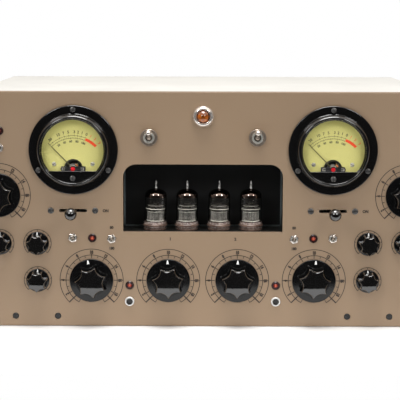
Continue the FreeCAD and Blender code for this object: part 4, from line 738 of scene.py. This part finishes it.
def largeDialMarks():
    # two rings joined by strong end bars, the inner one running on by a short cell at each end
    look = dialPrint
    line, outer, inner, near, start, end = (look[key] for key in ("line", "outer", "inner", "endFrom", "start", "end"))
    half = line / 2
    first, last = start + look["past"], end - look["past"]
    marks = [arcBand(outer - half, outer + half, start, end), arcBand(inner - half, inner + half, first, last)]
    marks += [stroke(angle, near, outer + half, line * 1.7) for angle in (start, end)]
    marks += [stroke(angle, near, inner + half, line * 0.8) for angle in (first, last)]
    for index in range(17):
        angle = start - 15 * (index + 1)
        if angle in (180, 0):
            marks.append(stroke(angle, near, outer, line))
        elif index % 2 == 0:
            marks.append(stroke(angle, near, inner + 1.2, line))
        else:
            marks.append(stroke(angle, inner - 2.2, inner, line * 0.9))
    for index in range(9):
        marks.append(roundNumeral(str(2 * index + 2), look["numeral"], look["numeralAt"], 210 - 30 * index, 0.11, 0.8))
    return joined(*marks)


def smallDialMarks():
    ring, line, near = smallPrint["ring"], smallPrint["line"], smallPrint["tickTo"]
    marks = [arcBand(ring - line / 2, ring + line / 2, 225, -45, 48)]
    for index in range(11):
        marks.append(stroke(225 - 27 * index, near - (0.5 if index % 5 == 0 else 0), ring, line))
    return joined(*marks)


def makePanelPrint():
    lift = legend["lift"]
    marks = [stamped(largeDialMarks(), [onPanel(*jointPlace(body), lift) for body in largeBodies]),
             stamped(smallDialMarks(), [onPanel(*jointPlace(body), lift) for body in smallBodies])]
    for side, out, channel in (("left", -1, "1"), ("right", 1, "2")):
        lever, leverUp = jointPlace(f"lever_key_{side}_body")
        pad, padUp = jointPlace(f"pad_toggle_{side}_body")
        fromMiddle, low = legend["channel"]
        words = (("ON", 2.6, lever + legend["on"], leverUp), ("80", 2.5, pad, padUp + legend["above"]),
                 ("180", 2.5, pad, padUp + legend["below"]), (channel, 2.6, out * fromMiddle, low))
        marks += [moved(numeral(text, high), onPanel(across, up, lift)) for text, high, across, up in words]
    finished("panel_print", joined(*marks), ["panelInk"])
    print("panel printed")


meter = {"flange": 41.5, "thick": 3.5, "rim": 33.6, "high": 12.5, "window": 28.6, "crest": 30.6, "bore": 30.7,
         "lipBack": 8.2, "maskDrop": 18.9, "maskThick": 2.0, "pivotDrop": 17.2, "arcLow": 28.2, "arcHigh": 30.6,
         "dialFront": 1.8, "screwOut": 17.9, "screwDrop": 13, "zeroAt": 21.5, "fullAt": 24.1}
vuMarks = [("20", 0.1), ("10", 0.316), ("7", 0.447), ("5", 0.562), ("3", 0.708), ("2", 0.794), ("1", 0.891),
           ("0", 1.0)]
overMarks = [("1", 1.122), ("2", 1.259), ("3", 1.413)]


def scaleAngle(share):
    # angle anticlockwise from across for a share of full level, drawn about the pivot
    zero = meter["zeroAt"]
    leaning = -45 + (zero + 45) * share if share <= 1 else zero + (share - 1) / 0.413 * meter["fullAt"]
    return 90 - leaning


def meterBezel():
    look = meter
    flange, thick, rim, window, bore = (look[key] for key in ("flange", "thick", "rim", "window", "bore"))
    crest, high, back = look["crest"], look["high"], look["lipBack"]
    ledge = back + 1.5
    outline = [(bore, 0), (flange - 0.4, 0), (flange, 0.3), (flange, thick - 0.9)]
    outline += curved(flange - 0.9, thick - 0.9, 0.9, 0.9, range(18, 91, 18))
    outline += [(rim + 0.9, thick), (rim + 0.35, thick + 0.15), (rim + 0.05, thick + 0.6), (rim, thick + 1.2)]
    outline += curved(crest, high - 5.0, rim - crest, 5.0, [11.25 * part for part in range(9)])
    outline += [(crest - 0.4, high - 0.1), (crest - 0.8, high - 0.45), (crest - 1.0, high - 1.1),
                (crest - 1.1, ledge + 0.3), (crest - 1.3, ledge), (window + 0.3, ledge - 0.05), (window, ledge - 0.3),
                (window, back), (bore, back), (bore, 0)]
    mask = bmesh.new()
    bmesh.ops.create_circle(mask, cap_ends=True, radius=window + 0.4, segments=128)
    sliced(mask, (0, -look["maskDrop"], 0), (0, 1, 0), clear_outer=True)
    raisedBy(shifted(mask, 0, 0, back), look["maskThick"])
    return joined(turned(outline, steps=128), easeEdges(mask, 0.45, 3, 40))


# radius, height, and the slot's width and depth of each kind of screw head
screwHeads = {"dial": (2.0, 1.0, 0.5, 0.45), "zero": (2.5, 1.2, 0.8, 0.7), "meter": (2.5, 1.2, 0.65, 0.75),
              "lever": (2.9, 1.2, 0.7, 0.8)}


def slottedHead(radius, high, slotWide, slotDeep, steps=32):
    # round head with a slot: two halves of a dome and the floor between them
    whole = turned([(0, 0), (radius, 0), (radius, high * 0.45), (radius * 0.93, high * 0.75),
                    (radius * 0.75, high * 0.92), (radius * 0.4, high), (0, high)], steps)
    halves = []
    for side in (1, -1):
        half = whole.copy()
        sliced(half, (0, side * slotWide / 2, 0), (0, side, 0), dist=1e-5, clear_inner=True)
        bmesh.ops.holes_fill(half, edges=[edge for edge in half.edges if edge.is_boundary], sides=0)
        halves.append(outward(half))
    whole.free()
    floor = rod(radius * 0.97, 0, high - slotDeep, steps)
    return joined(painted(joined(*halves), 0), painted(floor, 1))


def dialMarks():
    # double scale arc, ticks and plain figures, drawn about the pivot
    low, high = meter["arcLow"], meter["arcHigh"]
    marks = [arcBand(radius - 0.17, radius + 0.17, scaleAngle(0), scaleAngle(1.0), 48) for radius in (low, high)]
    for part in range(21):
        long = 0.9 if part % 4 == 0 else 0
        marks.append(stroke(scaleAngle(part / 20), low - 0.2 - long, low + 1.0, 0.28))
    for text, share in vuMarks:
        marks.append(stroke(scaleAngle(share), high - 0.9, high + 1.1, 0.34))
        marks.append(roundNumeral(text, 2.6, high + 3.6, scaleAngle(share), 0.04))
    for level in range(20, 101, 20):
        marks.append(roundNumeral(str(level), 2.0, low - 2.8, scaleAngle(level / 100), 0.06))
    red = [arcBand(low - 0.05, high + 0.05, scaleAngle(1.02), scaleAngle(1.413), 24)]
    for text, share in overMarks:
        red.append(stroke(scaleAngle(share), high - 0.5, high + 1.1, 0.28))
        red.append(roundNumeral(text, 2.5, high + 3.6, scaleAngle(share)))
    return joined(painted(joined(*marks), 0), painted(joined(*red), 1))


bridge = {"wide": 22.7, "high": 4.0, "front": 6.3, "hookWide": 3.3, "hookHigh": 2.5, "proud": 0.16}


def stadium(wide, high, low, top):
    # bar with round ends
    out, radius = (wide - high) / 2, high / 2
    right = curved(out, 0, radius, radius, range(-90, 91, 15))
    return prism(right + curved(-out, 0, radius, radius, range(90, 271, 15)), low, top)


def bridgeTrim():
    # black bridge cover with bright end hooks, a bright pivot ring and the red jewel
    look = bridge
    cover = easeEdges(stadium(look["wide"] + 0.3, look["high"] + 0.3, -1.2, 0.08), 0.06, 1, 50)
    bright = []
    for side in (-1, 1):
        at = side * (look["wide"] / 2 - 2.6)
        bright.append(box(0.8, look["hookHigh"], 0, look["proud"], (at + side * 1.1, 0)))
        for level in (-1, 1):
            arm = (at - side * 0.3, level * (look["hookHigh"] / 2 - 0.3))
            bright.append(box(look["hookWide"] - 0.9, 0.6, 0, look["proud"], arm))
    ring = turned([(1.6, 0), (2.75, 0), (2.75, 0.12), (2.5, 0.2), (1.8, 0.2), (1.6, 0.12), (1.6, 0)], 32)
    jewel = turned([(0, 0), (1.95, 0), (1.95, 0.2), (1.6, 0.27), (0.9, 0.31), (0, 0.32)], 32)
    bright.append(shifted(joined(arcBand(3.1, 3.7, 150, 40), arcBand(4.3, 4.8, 125, 80)), 0, 0, -0.4))
    lead = shifted(arcBand(4.3, 5.7, 62, 32), 0, 0, -0.4)
    return joined(painted(joined(*bright), 0), painted(jewel, 1), painted(joined(cover, ring), 2), painted(lead, 3))


def makeMeters():
    look = meter
    front = look["dialFront"]
    finished("meter_bezel_mouldings", stamped(meterBezel(), [onPanel(*at) for at in meterCentres]), ["bakelite"],
             replaces=["meter_bezels"], smooth=40)
    pivots = [(across, up - look["pivotDrop"] * mm) for across, up in meterCentres]
    finished("meter_scales", stamped(dialMarks(), [onPanel(*at, front + 0.03) for at in pivots]),
             ["dialInk", "dialRed"])
    finished("meter_bridge_trim", stamped(bridgeTrim(), [onPanel(*at, bridge["front"]) for at in pivots]),
             ["bareMetal", "jewelRed", "bridgeMetal", "copperWire"])
    heads = [onPanel(across + side * look["screwOut"] * mm, up - look["screwDrop"] * mm, front, turn)
             for across, up in meterCentres for side, turn in ((-1, 35), (1, -20))]
    finished("dial_screw_heads", stamped(slottedHead(*screwHeads["dial"]), heads), ["bareMetal", "slotShade"])
    for name in [f"zero_screw_{side}" for side in sides]:
        low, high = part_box(name)
        head = joined(slottedHead(*screwHeads["zero"]), rod(1.2, -4, 0.1, 24))
        place = onPanel(*middle(low, high), (panelFace - low.y) / mm - screwHeads["zero"][1], turn=90)
        finished(name + "_head", moved(head, place), ["screwSteel", "slotShade"], name + "_body",
                 replaces=[name])
    print("meters made")


def shank(long):
    return turned([(0, -long), (1.2, -long), (1.5, -long + 0.5), (1.5, 0.1), (0, 0.1)], 20)


def makeScrews():
    # every head keeps its own slot angle, as hand-driven screws do
    meterTurns = (-35, 20, 75, 10, 60, -50)
    leverTurns = (4, -3, 2, -5)
    onMeters = []
    atLevers = []
    for low, high in solidBoxes("fixing_screws"):
        proud = (panelFace - low.y) / mm
        (onMeters if proud > 2 else atLevers).append(middle(low, high))
    heads = [stamped(joined(head, shank(long)), [onPanel(*at, forward, turn) for at, turn in zip(places, turns)])
             for head, long, forward, places, turns in (
                 (slottedHead(*screwHeads["meter"]), 12.5, meter["thick"], onMeters, meterTurns),
                 (slottedHead(*screwHeads["lever"]), 9, 0, atLevers, leverTurns))]
    finished("panel_screw_heads", joined(*heads), ["screwSteel", "slotShade"],
             replaces=["fixing_screws"])
    print("screws driven:", len(onMeters), "and", len(atLevers))


valve = {"bulb": 10.35, "wall": 0.9, "shoulder": 34.9, "top": 38.9, "tip": 47.0, "socket": 11.8, "mica": 8.8,
         "anodeHigh": 8.3, "anodeWide": 7.5, "anodeDeep": 6.4, "upperMica": 20.2, "mirror": 30.2, "smoke": 2.5}
# how each valve is turned, and leans in its socket, in degrees
valveStand = ((8, 1.6), (-14, 0.6), (22, 0.7), (-5, 0.0))
bay = {"wall": 1.2, "side": 4.0, "fold": 1.2, "short": 5.3}


def envelopeProfile(radius, shoulder, top, tip):
    # straight wall, round shoulder, drawn-off tip
    profile = [(0, 2.5), (radius - 2, 2.5), (radius - 0.7, 2.9), (radius - 0.15, 3.7), (radius, 4.8),
               (radius, shoulder - 3.5), (radius, shoulder - 2)]
    profile += curved(1.6, shoulder - 2, radius - 1.6, top - shoulder + 2, range(10, 81, 10))
    return profile + [(1.75, top + 0.1), (1.35, top + 0.8), (1.1, top + 1.8), (0.95, top + 3.4), (0.85, tip - 2.0),
                      (0.7, tip - 1.0), (0.42, tip - 0.3), (0, tip)]


def innerProfile(radius, shoulder, top):
    profile = [(0, 4.0), (radius - 1.2, 4.0), (radius, 5.2), (radius, shoulder - 2)]
    profile += curved(1.0, shoulder - 2, radius - 1.0, top - shoulder + 2, [10.4 * part for part in range(1, 9)])
    return profile + [(0, top + 0.1)]


def valveGlassShape():
    # clear wall, smoked band, mirrored shoulder, and a tip painted opaque grey as a painted glint of its glass
    bulb, wall, shoulder, top, tip = (valve[key] for key in ("bulb", "wall", "shoulder", "top", "tip"))
    outer = turned(envelopeProfile(bulb, shoulder, top, tip), 56)
    bands = ((top + 0.5, 1), (valve["mirror"], 2), (valve["mirror"] - valve["smoke"], 3))
    for face in outer.faces:
        level = face.calc_center_median().z
        face.material_index = next((index for above, index in bands if level > above), 0)
    inner = turned(innerProfile(bulb - wall, shoulder, top - wall), 56)
    bmesh.ops.reverse_faces(inner, faces=inner.faces[:])
    return joined(outer, inner)


def anode():
    # folded box with pressed ribs and a seam up its front
    wide, deep, high = valve["anodeWide"], valve["anodeDeep"], valve["anodeHigh"]
    bm = prism([(wide * x, deep * y) for x, y in (
        (-0.5, -0.25), (-0.32, -0.5), (-0.12, -0.42), (0.12, -0.42), (0.32, -0.5), (0.5, -0.25), (0.5, 0.25),
        (0.32, 0.5), (-0.32, 0.5), (-0.5, 0.25))], 0, high)
    for level in range(1, 8):
        sliced(bm, (0, 0, high * level / 8), (0, 0, 1))
    walls = [face for face in bm.faces if abs(face.normal.z) < 0.5 and face.calc_area() > 0.5]
    bmesh.ops.inset_individual(bm, faces=walls, thickness=0.16, depth=-0.14)
    return bm


def valveInsides():
    foot = valve["mica"] + 0.3
    head = foot + valve["anodeHigh"]
    upper = valve["upperMica"]
    anodes = [shifted(anode(), side * (valve["anodeWide"] / 2 + 0.1), 0, foot) for side in (-1, 1)]
    wires = []
    for side in (-1, 1):
        for across in (-4.4, 0.0, 4.4):
            for depth in (-2.6, 2.6):
                wires.append(shifted(rod(0.28, 4.2, upper + 1.6, 10), across + side * 1.6, depth, 0))
        wires.append(shifted(rod(0.5, foot - 0.2, head + 3.8, 12), side * 3.7, -2.1, 0))
    # two straps round the anodes, and the getter's ring on its wire
    ringUp = upper + 4.8
    for level, inner, outer, thick, steps in ((head + 0.6, 7.5, 8.1, 0.35, 40), (head + 1.9, 7.5, 8.1, 0.35, 40),
                                              (ringUp, 2.6, 3.2, 0.5, 28)):
        wires.append(turned([(inner, level), (outer, level), (outer, level + thick), (inner, level + thick),
                             (inner, level)], steps))
    wires.append(shifted(rod(0.35, upper, ringUp + 0.3, 10), 2.9, 0, 0))
    return joined(*(painted(part, 0) for part in anodes), painted(joined(*wires), 1))


def micaDiscs():
    # toothed discs that hold the electrodes apart
    lower, upper = valve["mica"], valve["upperMica"]
    discs = []
    for level, radius, thick in ((lower, 8.3, 0.75), (lower + valve["anodeHigh"] + 0.4, 7.9, 0.75), (upper, 9.1, 0.5),
                                 (upper + 3.0, 7.6, 0.25)):
        disc = bmesh.new()
        bmesh.ops.create_circle(disc, cap_ends=True, radius=radius, segments=48)
        for index, vert in enumerate(sorted(disc.verts, key=lambda v: math.atan2(v.co.y, v.co.x))):
            if index % 4 in (0, 1):
                vert.co *= 0.94
        raisedBy(shifted(disc, 0, 0, level), thick)
        # the edges take the near-white rim finish, a painted highlight
        for face in disc.faces:
            face.material_index = 1 if abs(face.normal.z) < 0.5 else 0
        discs.append(disc)
    return joined(*discs)


def socketShape():
    # two rounded rings with a deep groove between them
    r = valve["socket"]
    return turned([(0, -10), (9.3, -10), (9.3, -0.4), (r - 1.4, -0.01), (r - 0.9, 0.4), (r - 0.75, 1.1),
                   (r - 0.9, 1.8), (r - 1.5, 2.2), (r - 2.0, 2.6), (r - 1.6, 3.4), (r - 0.6, 3.9), (r - 0.1, 4.4),
                   (r, 5.0), (r - 0.15, 5.6), (r - 0.6, 6.0), (r - 1.2, 6.3), (r - 1.3, 7.0), (r - 1.25, 7.8),
                   (r - 1.1, 8.2), (10.45, 8.0), (10.45, 2.4), (0, 2.4)], 64)


def bayFolds(floor):
    # the folds where the bay's walls meet its back, painted pale blue-grey on the black bay: a painted highlight along
    # them
    near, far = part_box("valve_bay")
    fold, inset = bay["fold"], bay["side"] * mm
    back = far.y - bay["wall"] * mm - fold * mm / 2
    wide, tall = (far.x - near.x - 2 * inset) / mm, (far.z - floor) / mm - bay["short"]
    folds = [moved(box(wide, fold, 0, fold), upright((near.x + far.x) / 2, back, floor))]
    for across in (near.x + inset + fold * mm / 2, far.x - inset - fold * mm / 2):
        folds.append(moved(box(fold, fold, 0, tall), upright(across, back, floor)))
    return joined(*folds)


def makeValves():
    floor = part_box("valve_envelopes")[1].z - valve["tip"] * mm
    sockets = [upright((low.x + high.x) / 2, (low.y + high.y) / 2, floor) for low, high in solidBoxes("valve_sockets")]
    places = [place @ spun(lean, "Y") @ spun(turn) for place, (turn, lean) in zip(sockets, valveStand)]
    finished("valve_bulbs", stamped(valveGlassShape(), places),
             ["valveGlass", "tipGlass", "getterFlash", "smokedGlass"], replaces=["valve_envelopes"],
             smooth=60)
    finished("valve_insides", stamped(valveInsides(), places), ["anodeMetal", "valveWire"],
             replaces=["valve_electrodes"])
    finished("valve_mica_discs", stamped(micaDiscs(), places), ["mica", "micaRim"], replaces=["valve_micas"])
    finished("valve_socket_rings", stamped(socketShape(), sockets), ["socketCeramic"],
             replaces=["valve_sockets"], smooth=40)
    finished("valve_bay_folds", bayFolds(floor), ["bayFold"])
    print("valves made:", len(places))


lever = {"ball": 5.8, "reach": 24, "rod": 1.3, "hub": 1.56}


def leverShape(reach):
    # dark ball and collar on a bright rod and its hub
    ball = bmesh.new()
    bmesh.ops.create_uvsphere(ball, u_segments=48, v_segments=28, radius=lever["ball"])
    collar = turned([(0, reach - 8), (2.0, reach - 8), (2.3, reach - 7.4), (2.3, reach - 5.6), (1.9, reach - 5.0),
                     (0, reach - 5.0)], 32)
    bore = lever["hub"]
    hub = turned([(bore, -6), (3.2, -6), (3.4, -5.8), (3.4, 5.8), (3.2, 6), (bore, 6), (bore, -6)], 32)
    metal = joined(rod(lever["rod"], 2.4, reach - 5, 24), moved(hub, spun(90, "X")))
    return joined(painted(joined(shifted(ball, 0, 0, reach), collar), 0), painted(metal, 1))


def makeLevers():
    for name in [f"lever_key_{side}" for side in sides]:
        body = name + "_body"
        pivotBack = (joints[body]["pos_m"][1] - panelFace) / mm
        shape = moved(leverShape(lever["reach"] + pivotBack), onPanel(*jointPlace(body), -pivotBack))
        finished(name + "_ball", shape, ["knobBakelite", "darkChrome"], body, replaces=[name],
                 smooth=60)
    print("lever keys made")


mainBat = {"ball": 3.1, "neck": 1.5, "tip": 2.7, "long": 17.5}
miniBat = {"ball": 2.0, "neck": 0.8, "tip": 1.3, "long": 11.0}
mainToggles = [body for body in joints if body.startswith(("line_toggle", "power_toggle"))]
miniToggles = [body for body in joints if "_toggle_" in body and body not in mainToggles]


def batShape(look):
    # pivot ball, slim neck and a bat that thickens to a rounded end
    ball, neck, tip, long = look["ball"], look["neck"], look["tip"], look["long"]
    foot = ball + 0.6
    profile = [(0, -ball)]
    profile += [at for at in curved(0, 0, ball, ball, range(-70, 71, 20)) if at[0] > neck or at[1] < 0]
    profile += [(neck, ball * 0.9), (neck, foot)]
    profile += [(neck + (tip - neck) * share ** 1.3, foot + (long - tip - foot) * share)
                for share in (0.2, 0.4, 0.6, 0.8, 1.0)]
    profile += curved(0, long - tip, tip, tip, [11.25 * part for part in range(1, 8)])
    bat = turned(profile + [(0, long)], 40)
    # the pivot ball takes the brownish chrome, a painted reflection: ball and bat are one chrome part
    for face in bat.faces:
        face.material_index = 1 if face.calc_center_median().z < ball + 0.5 else 0
    return bat


def makeToggles():
    for body in joints:
        if "_toggle_" in body:
            name = body.replace("_body", "")
            forward = (panelFace - joints[body]["pos_m"][1]) / mm
            place = onPanel(*jointPlace(body), forward, lean=midTravel(body))
            bat = moved(batShape(mainBat if body in mainToggles else miniBat), place)
            finished(name + "_bat", bat, ["chrome", "darkChrome"], body, replaces=[name], smooth=60)
    print("toggles made:", len(mainToggles + miniToggles))


def mainNut():
    # round dress nut in the brownish chrome, its colour a painted reflection, round a bright threaded bush
    ring = turned([(5.36, 0), (8.0, 0), (8.15, 0.15), (8.15, 2.3), (8.0, 2.75), (7.6, 3.1), (7.15, 3.1), (6.95, 2.5),
                   (6.75, 2.5), (6.55, 3.3), (6.2, 3.4), (5.6, 3.2), (5.36, 2.9), (5.36, 0)], 64)
    bush = turned([(3.45, -2), (5.3, -2), (5.3, 3.6), (5.05, 3.8), (5.3, 4.0), (5.05, 4.2), (5.3, 4.35), (5.15, 4.65),
                   (4.8, 4.8), (4.45, 4.7), (3.9, 4.2), (3.55, 3.5), (3.45, 2.8), (3.45, -2)], 48)
    return joined(painted(ring, 0), painted(bush, 1))


def miniNut():
    hexagon = easeEdges(prism(curved(0, 0, 4.4, 4.4, range(0, 360, 60)), 0, 2.0), 0.28, 2, 40)
    bush = turned([(2.35, 0.2), (3.0, 0.2), (3.0, 2.6), (2.8, 2.8), (3.0, 3.0), (2.8, 3.2), (3.0, 3.4), (2.85, 3.75),
                   (2.6, 3.8), (2.35, 3.6), (2.35, 0.2)], 40)
    return painted(joined(hexagon, bush), 1)


def buttonRing():
    return painted(turned([(3.46, 0), (4.2, 0), (4.4, 0.15), (4.4, 1.2), (4.25, 1.7), (3.9, 2.05), (3.5, 2.1),
                           (3.15, 1.9), (3.0, 1.5), (3.0, 1.0), (3.46, 0.9), (3.46, 0)], 48), 2)


def makeNuts():
    presses = []
    for name in [f"push_button_{side}" for side in sides]:
        low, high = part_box(name)
        presses.append(onPanel(*middle(low, high)))
        back = (high.y - panelFace) / mm
        cap = turned([(0, -back), (2.8, -back), (2.8, 2.7), (2.7, 2.95), (2.4, 3.2), (1.8, 3.12), (0, 2.85)], 40)
        finished(name + "_cap", moved(cap, presses[-1]), ["buttonCap"], name + "_body", replaces=[name],
                 smooth=40)
    mains = [onPanel(*jointPlace(body)) for body in mainToggles]
    minis = [onPanel(*jointPlace(body), turn=15) for body in miniToggles]
    shape = joined(stamped(mainNut(), mains), stamped(miniNut(), minis), stamped(buttonRing(), presses))
    finished("switch_dress_nuts", shape, ["darkChrome", "chrome", "satinNickel"], replaces=["switch_nuts"],
             smooth=40)
    print("nuts and buttons made")


jewel = {"radius": 5.7, "sides": 8, "deep": 12, "steps": ((17.2, 1.0), (1.3, 0.86), (1.2, 0.56), (0.7, 0.3))}


def indicatorCap():
    lens = turned([(0, -6.9), (2.0, -6.9), (2.0, 1.2), (1.85, 1.7), (1.5, 2.1), (1.05, 2.3), (0.9, 2.35),
                   (0, 2.4)], 40)
    for face in lens.faces:
        centre = face.calc_center_median()
        face.material_index = 1 if centre.z > 2.2 and math.hypot(centre.x, centre.y) < 0.95 else 0
    return lens


def jewelShape():
    # each step of the lens is turned by half a side, which leaves flat facets between
    radius = jewel["radius"]
    bm = bmesh.new()
    bmesh.ops.create_circle(bm, cap_ends=True, radius=radius, segments=jewel["sides"])
    faces = bm.faces[:]
    for rise, share in jewel["steps"]:
        grown = bmesh.ops.extrude_face_region(bm, geom=faces)["geom"]
        verts, faces = ofKind(grown, bmesh.types.BMVert), ofKind(grown, bmesh.types.BMFace)
        bmesh.ops.translate(bm, verts=verts, vec=(0, 0, rise))
        grow = radius * share / max(math.hypot(vert.co.x, vert.co.y) for vert in verts)
        bmesh.ops.scale(bm, verts=verts, vec=(grow, grow, 1))
        if share < 1:
            bmesh.ops.rotate(bm, verts=verts, cent=(0, 0, 0), matrix=spun(180 / jewel["sides"], size=3))
    shifted(bm, 0, 0, -jewel["deep"])
    bmesh.ops.triangulate(bm, faces=[face for face in bm.faces if len(face.verts) == 4])
    return outward(bm)


def makeLamps():
    places = [onPanel(*at) for at in panelCentres("indicator_bezels")]
    upper = max(place.translation.z for place in places)
    for name, high, looks in (("indicator_caps_upper", True, ["redLens", "redCore"]),
                              ("indicator_caps_lower", False, ["litLens", "litCore"])):
        chosen = [place for place in places if (place.translation.z > upper - 0.02) == high]
        finished(name, stamped(indicatorCap(), chosen), looks, replaces=["indicator_lenses"], smooth=50)
    place = onPanel(*middle(*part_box("jewel_bezel")))
    ring = turned([(5.76, -11.9), (7.4, -11.9), (7.4, 0), (9.9, 0), (10.1, 0.25), (10.1, 1.6), (9.95, 2.7), (9.6, 3.7),
                   (9.05, 4.6), (8.35, 5.3), (7.55, 5.8), (6.9, 6.0), (6.4, 5.8), (6.0, 5.2), (5.76, 4.4),
                   (5.76, -11.9)], 72)
    holder = rod(7.4, -29.9, -12, 32)
    finished("jewel_ring", moved(joined(painted(ring, 0), painted(holder, 1)), place), ["chrome", "darkSteel"],
             replaces=["jewel_bezel"], smooth=40)
    finished("jewel_facets", moved(jewelShape(), place), ["amberLens"], replaces=["jewel_lens"],
             smooth=5)
    print("lamps made")


makeKnobs()
makePanelPrint()
makeMeters()
makeScrews()
makeValves()
makeLevers()
makeToggles()
makeNuts()
makeLamps()


studio = {"floorFront": -0.175, "floorBack": 4.0, "floorWide": 3.0, "floorDrop": 0.0002, "spotAt": (0.72, -1.25, 0.92),
          "spots": 5.2, "top": 19.0, "card": 1.3, "ambient": 0.45, "mirrored": (1, 0.93, 0.86, 1), "least": 0.035,
          "above": (0.35, 0.8, 0.0, 1.3), "aside": (0.55, 0.95, 0.0, 0.12)}


def makeFloor():
    front, back = studio["floorFront"], studio["floorBack"]
    bm = bmesh.new()
    bmesh.ops.create_grid(bm, x_segments=1, y_segments=1, size=1)
    bmesh.ops.scale(bm, verts=bm.verts, vec=(studio["floorWide"], (back - front) / 2, 1))
    mesh = meshOf(shifted(bm, 0, (back + front) / 2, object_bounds()[0][2] - studio["floorDrop"]), "floor")
    finish("floorPaper", (0.86, 0.855, 0.85), (0.84, 0.835, 0.83), 3, grain=600, rough=0.7, spread=0.05)
    mesh.materials.append(finishes["floorPaper"])
    floor = placed("floor", mesh)


def softbox(name, at, towards, wide, high, power, colour=(1, 1, 1)):
    light = bpy.data.lights.new(name, "AREA")
    light.shape = "ELLIPSE"
    light.size = wide
    light.size_y = high
    light.energy = power
    light.color = colour
    lamp = placed(name, light)
    lamp.location = at
    lamp.rotation_euler = (Vector(towards) - Vector(at)).to_track_quat("-Z", "Y").to_euler()
    return lamp


def background(tree, colour):
    made = node(tree, "ShaderNodeBackground")
    made.inputs[0].default_value = colour
    return made


def makeStudio():
    # two small boxes high in front, one wide one overhead, and a pale room that is dark straight ahead in reflections
    bpy.context.scene.view_settings.view_transform = "Standard"
    across, back, up = studio["spotAt"]
    for name, side in (("left box", -1), ("right box", 1)):
        softbox(name, (side * across, back, up), (0, 0.05, 0.1), 0.3, 0.5, studio["spots"])
    softbox("overhead", (0, -0.3, 1.5), (0, 0.0, 0.1), 0.9, 0.7, studio["top"])
    card = softbox("floor card", (0, -0.42, 0.03), (0, 0.0, 0.03), 1.1, 0.05, studio["card"], (0.93, 0.97, 1))
    card.visible_glossy = False
    card.visible_transmission = False
    world = bpy.data.worlds.new("studio")
    bpy.context.scene.world = world
    world.use_nodes = True
    tree = world.node_tree
    ground = tree.nodes["Background"]
    ground.inputs[0].default_value = (0.97, 0.98, 1.0, 1)
    ground.inputs[1].default_value = studio["ambient"]
    mirrored = background(tree, studio["mirrored"])
    parts = node(tree, "ShaderNodeSeparateXYZ")
    wire(tree, node(tree, "ShaderNodeTexCoord").outputs["Generated"], parts.inputs[0])
    above = mapped(tree, parts.outputs["Z"], *studio["above"])
    aside = mapped(tree, sums(tree, "ABSOLUTE", parts.outputs["X"]), *studio["aside"])
    wire(tree, sums(tree, "ADD", sums(tree, "ADD", above, aside), studio["least"]), mirrored.inputs[1])
    seen = background(tree, (1, 1, 1, 1)).outputs[0]
    room = mixedBy(tree, "Is Camera Ray", mixedBy(tree, "Is Glossy Ray", ground.outputs[0], mirrored.outputs[0]), seen)
    wire(tree, room, tree.nodes["World Output"].inputs["Surface"])


cameraPlace = {"lens": 123.3, "at": (-0.00277, -1.2703, 0.2971), "down": 7.94, "roll": 0.186}


def makeCamera():
    eye = bpy.data.cameras.new("camera")
    eye.lens = cameraPlace["lens"]
    eye.sensor_width = 36
    camera = placed("camera", eye)
    turn = spun(90 - cameraPlace["down"], "X") @ spun(cameraPlace["roll"])
    camera.matrix_world = Matrix.Translation(cameraPlace["at"]) @ turn
    bpy.context.scene.camera = camera


makeFloor()
makeStudio()
makeCamera()
print("studio lit")
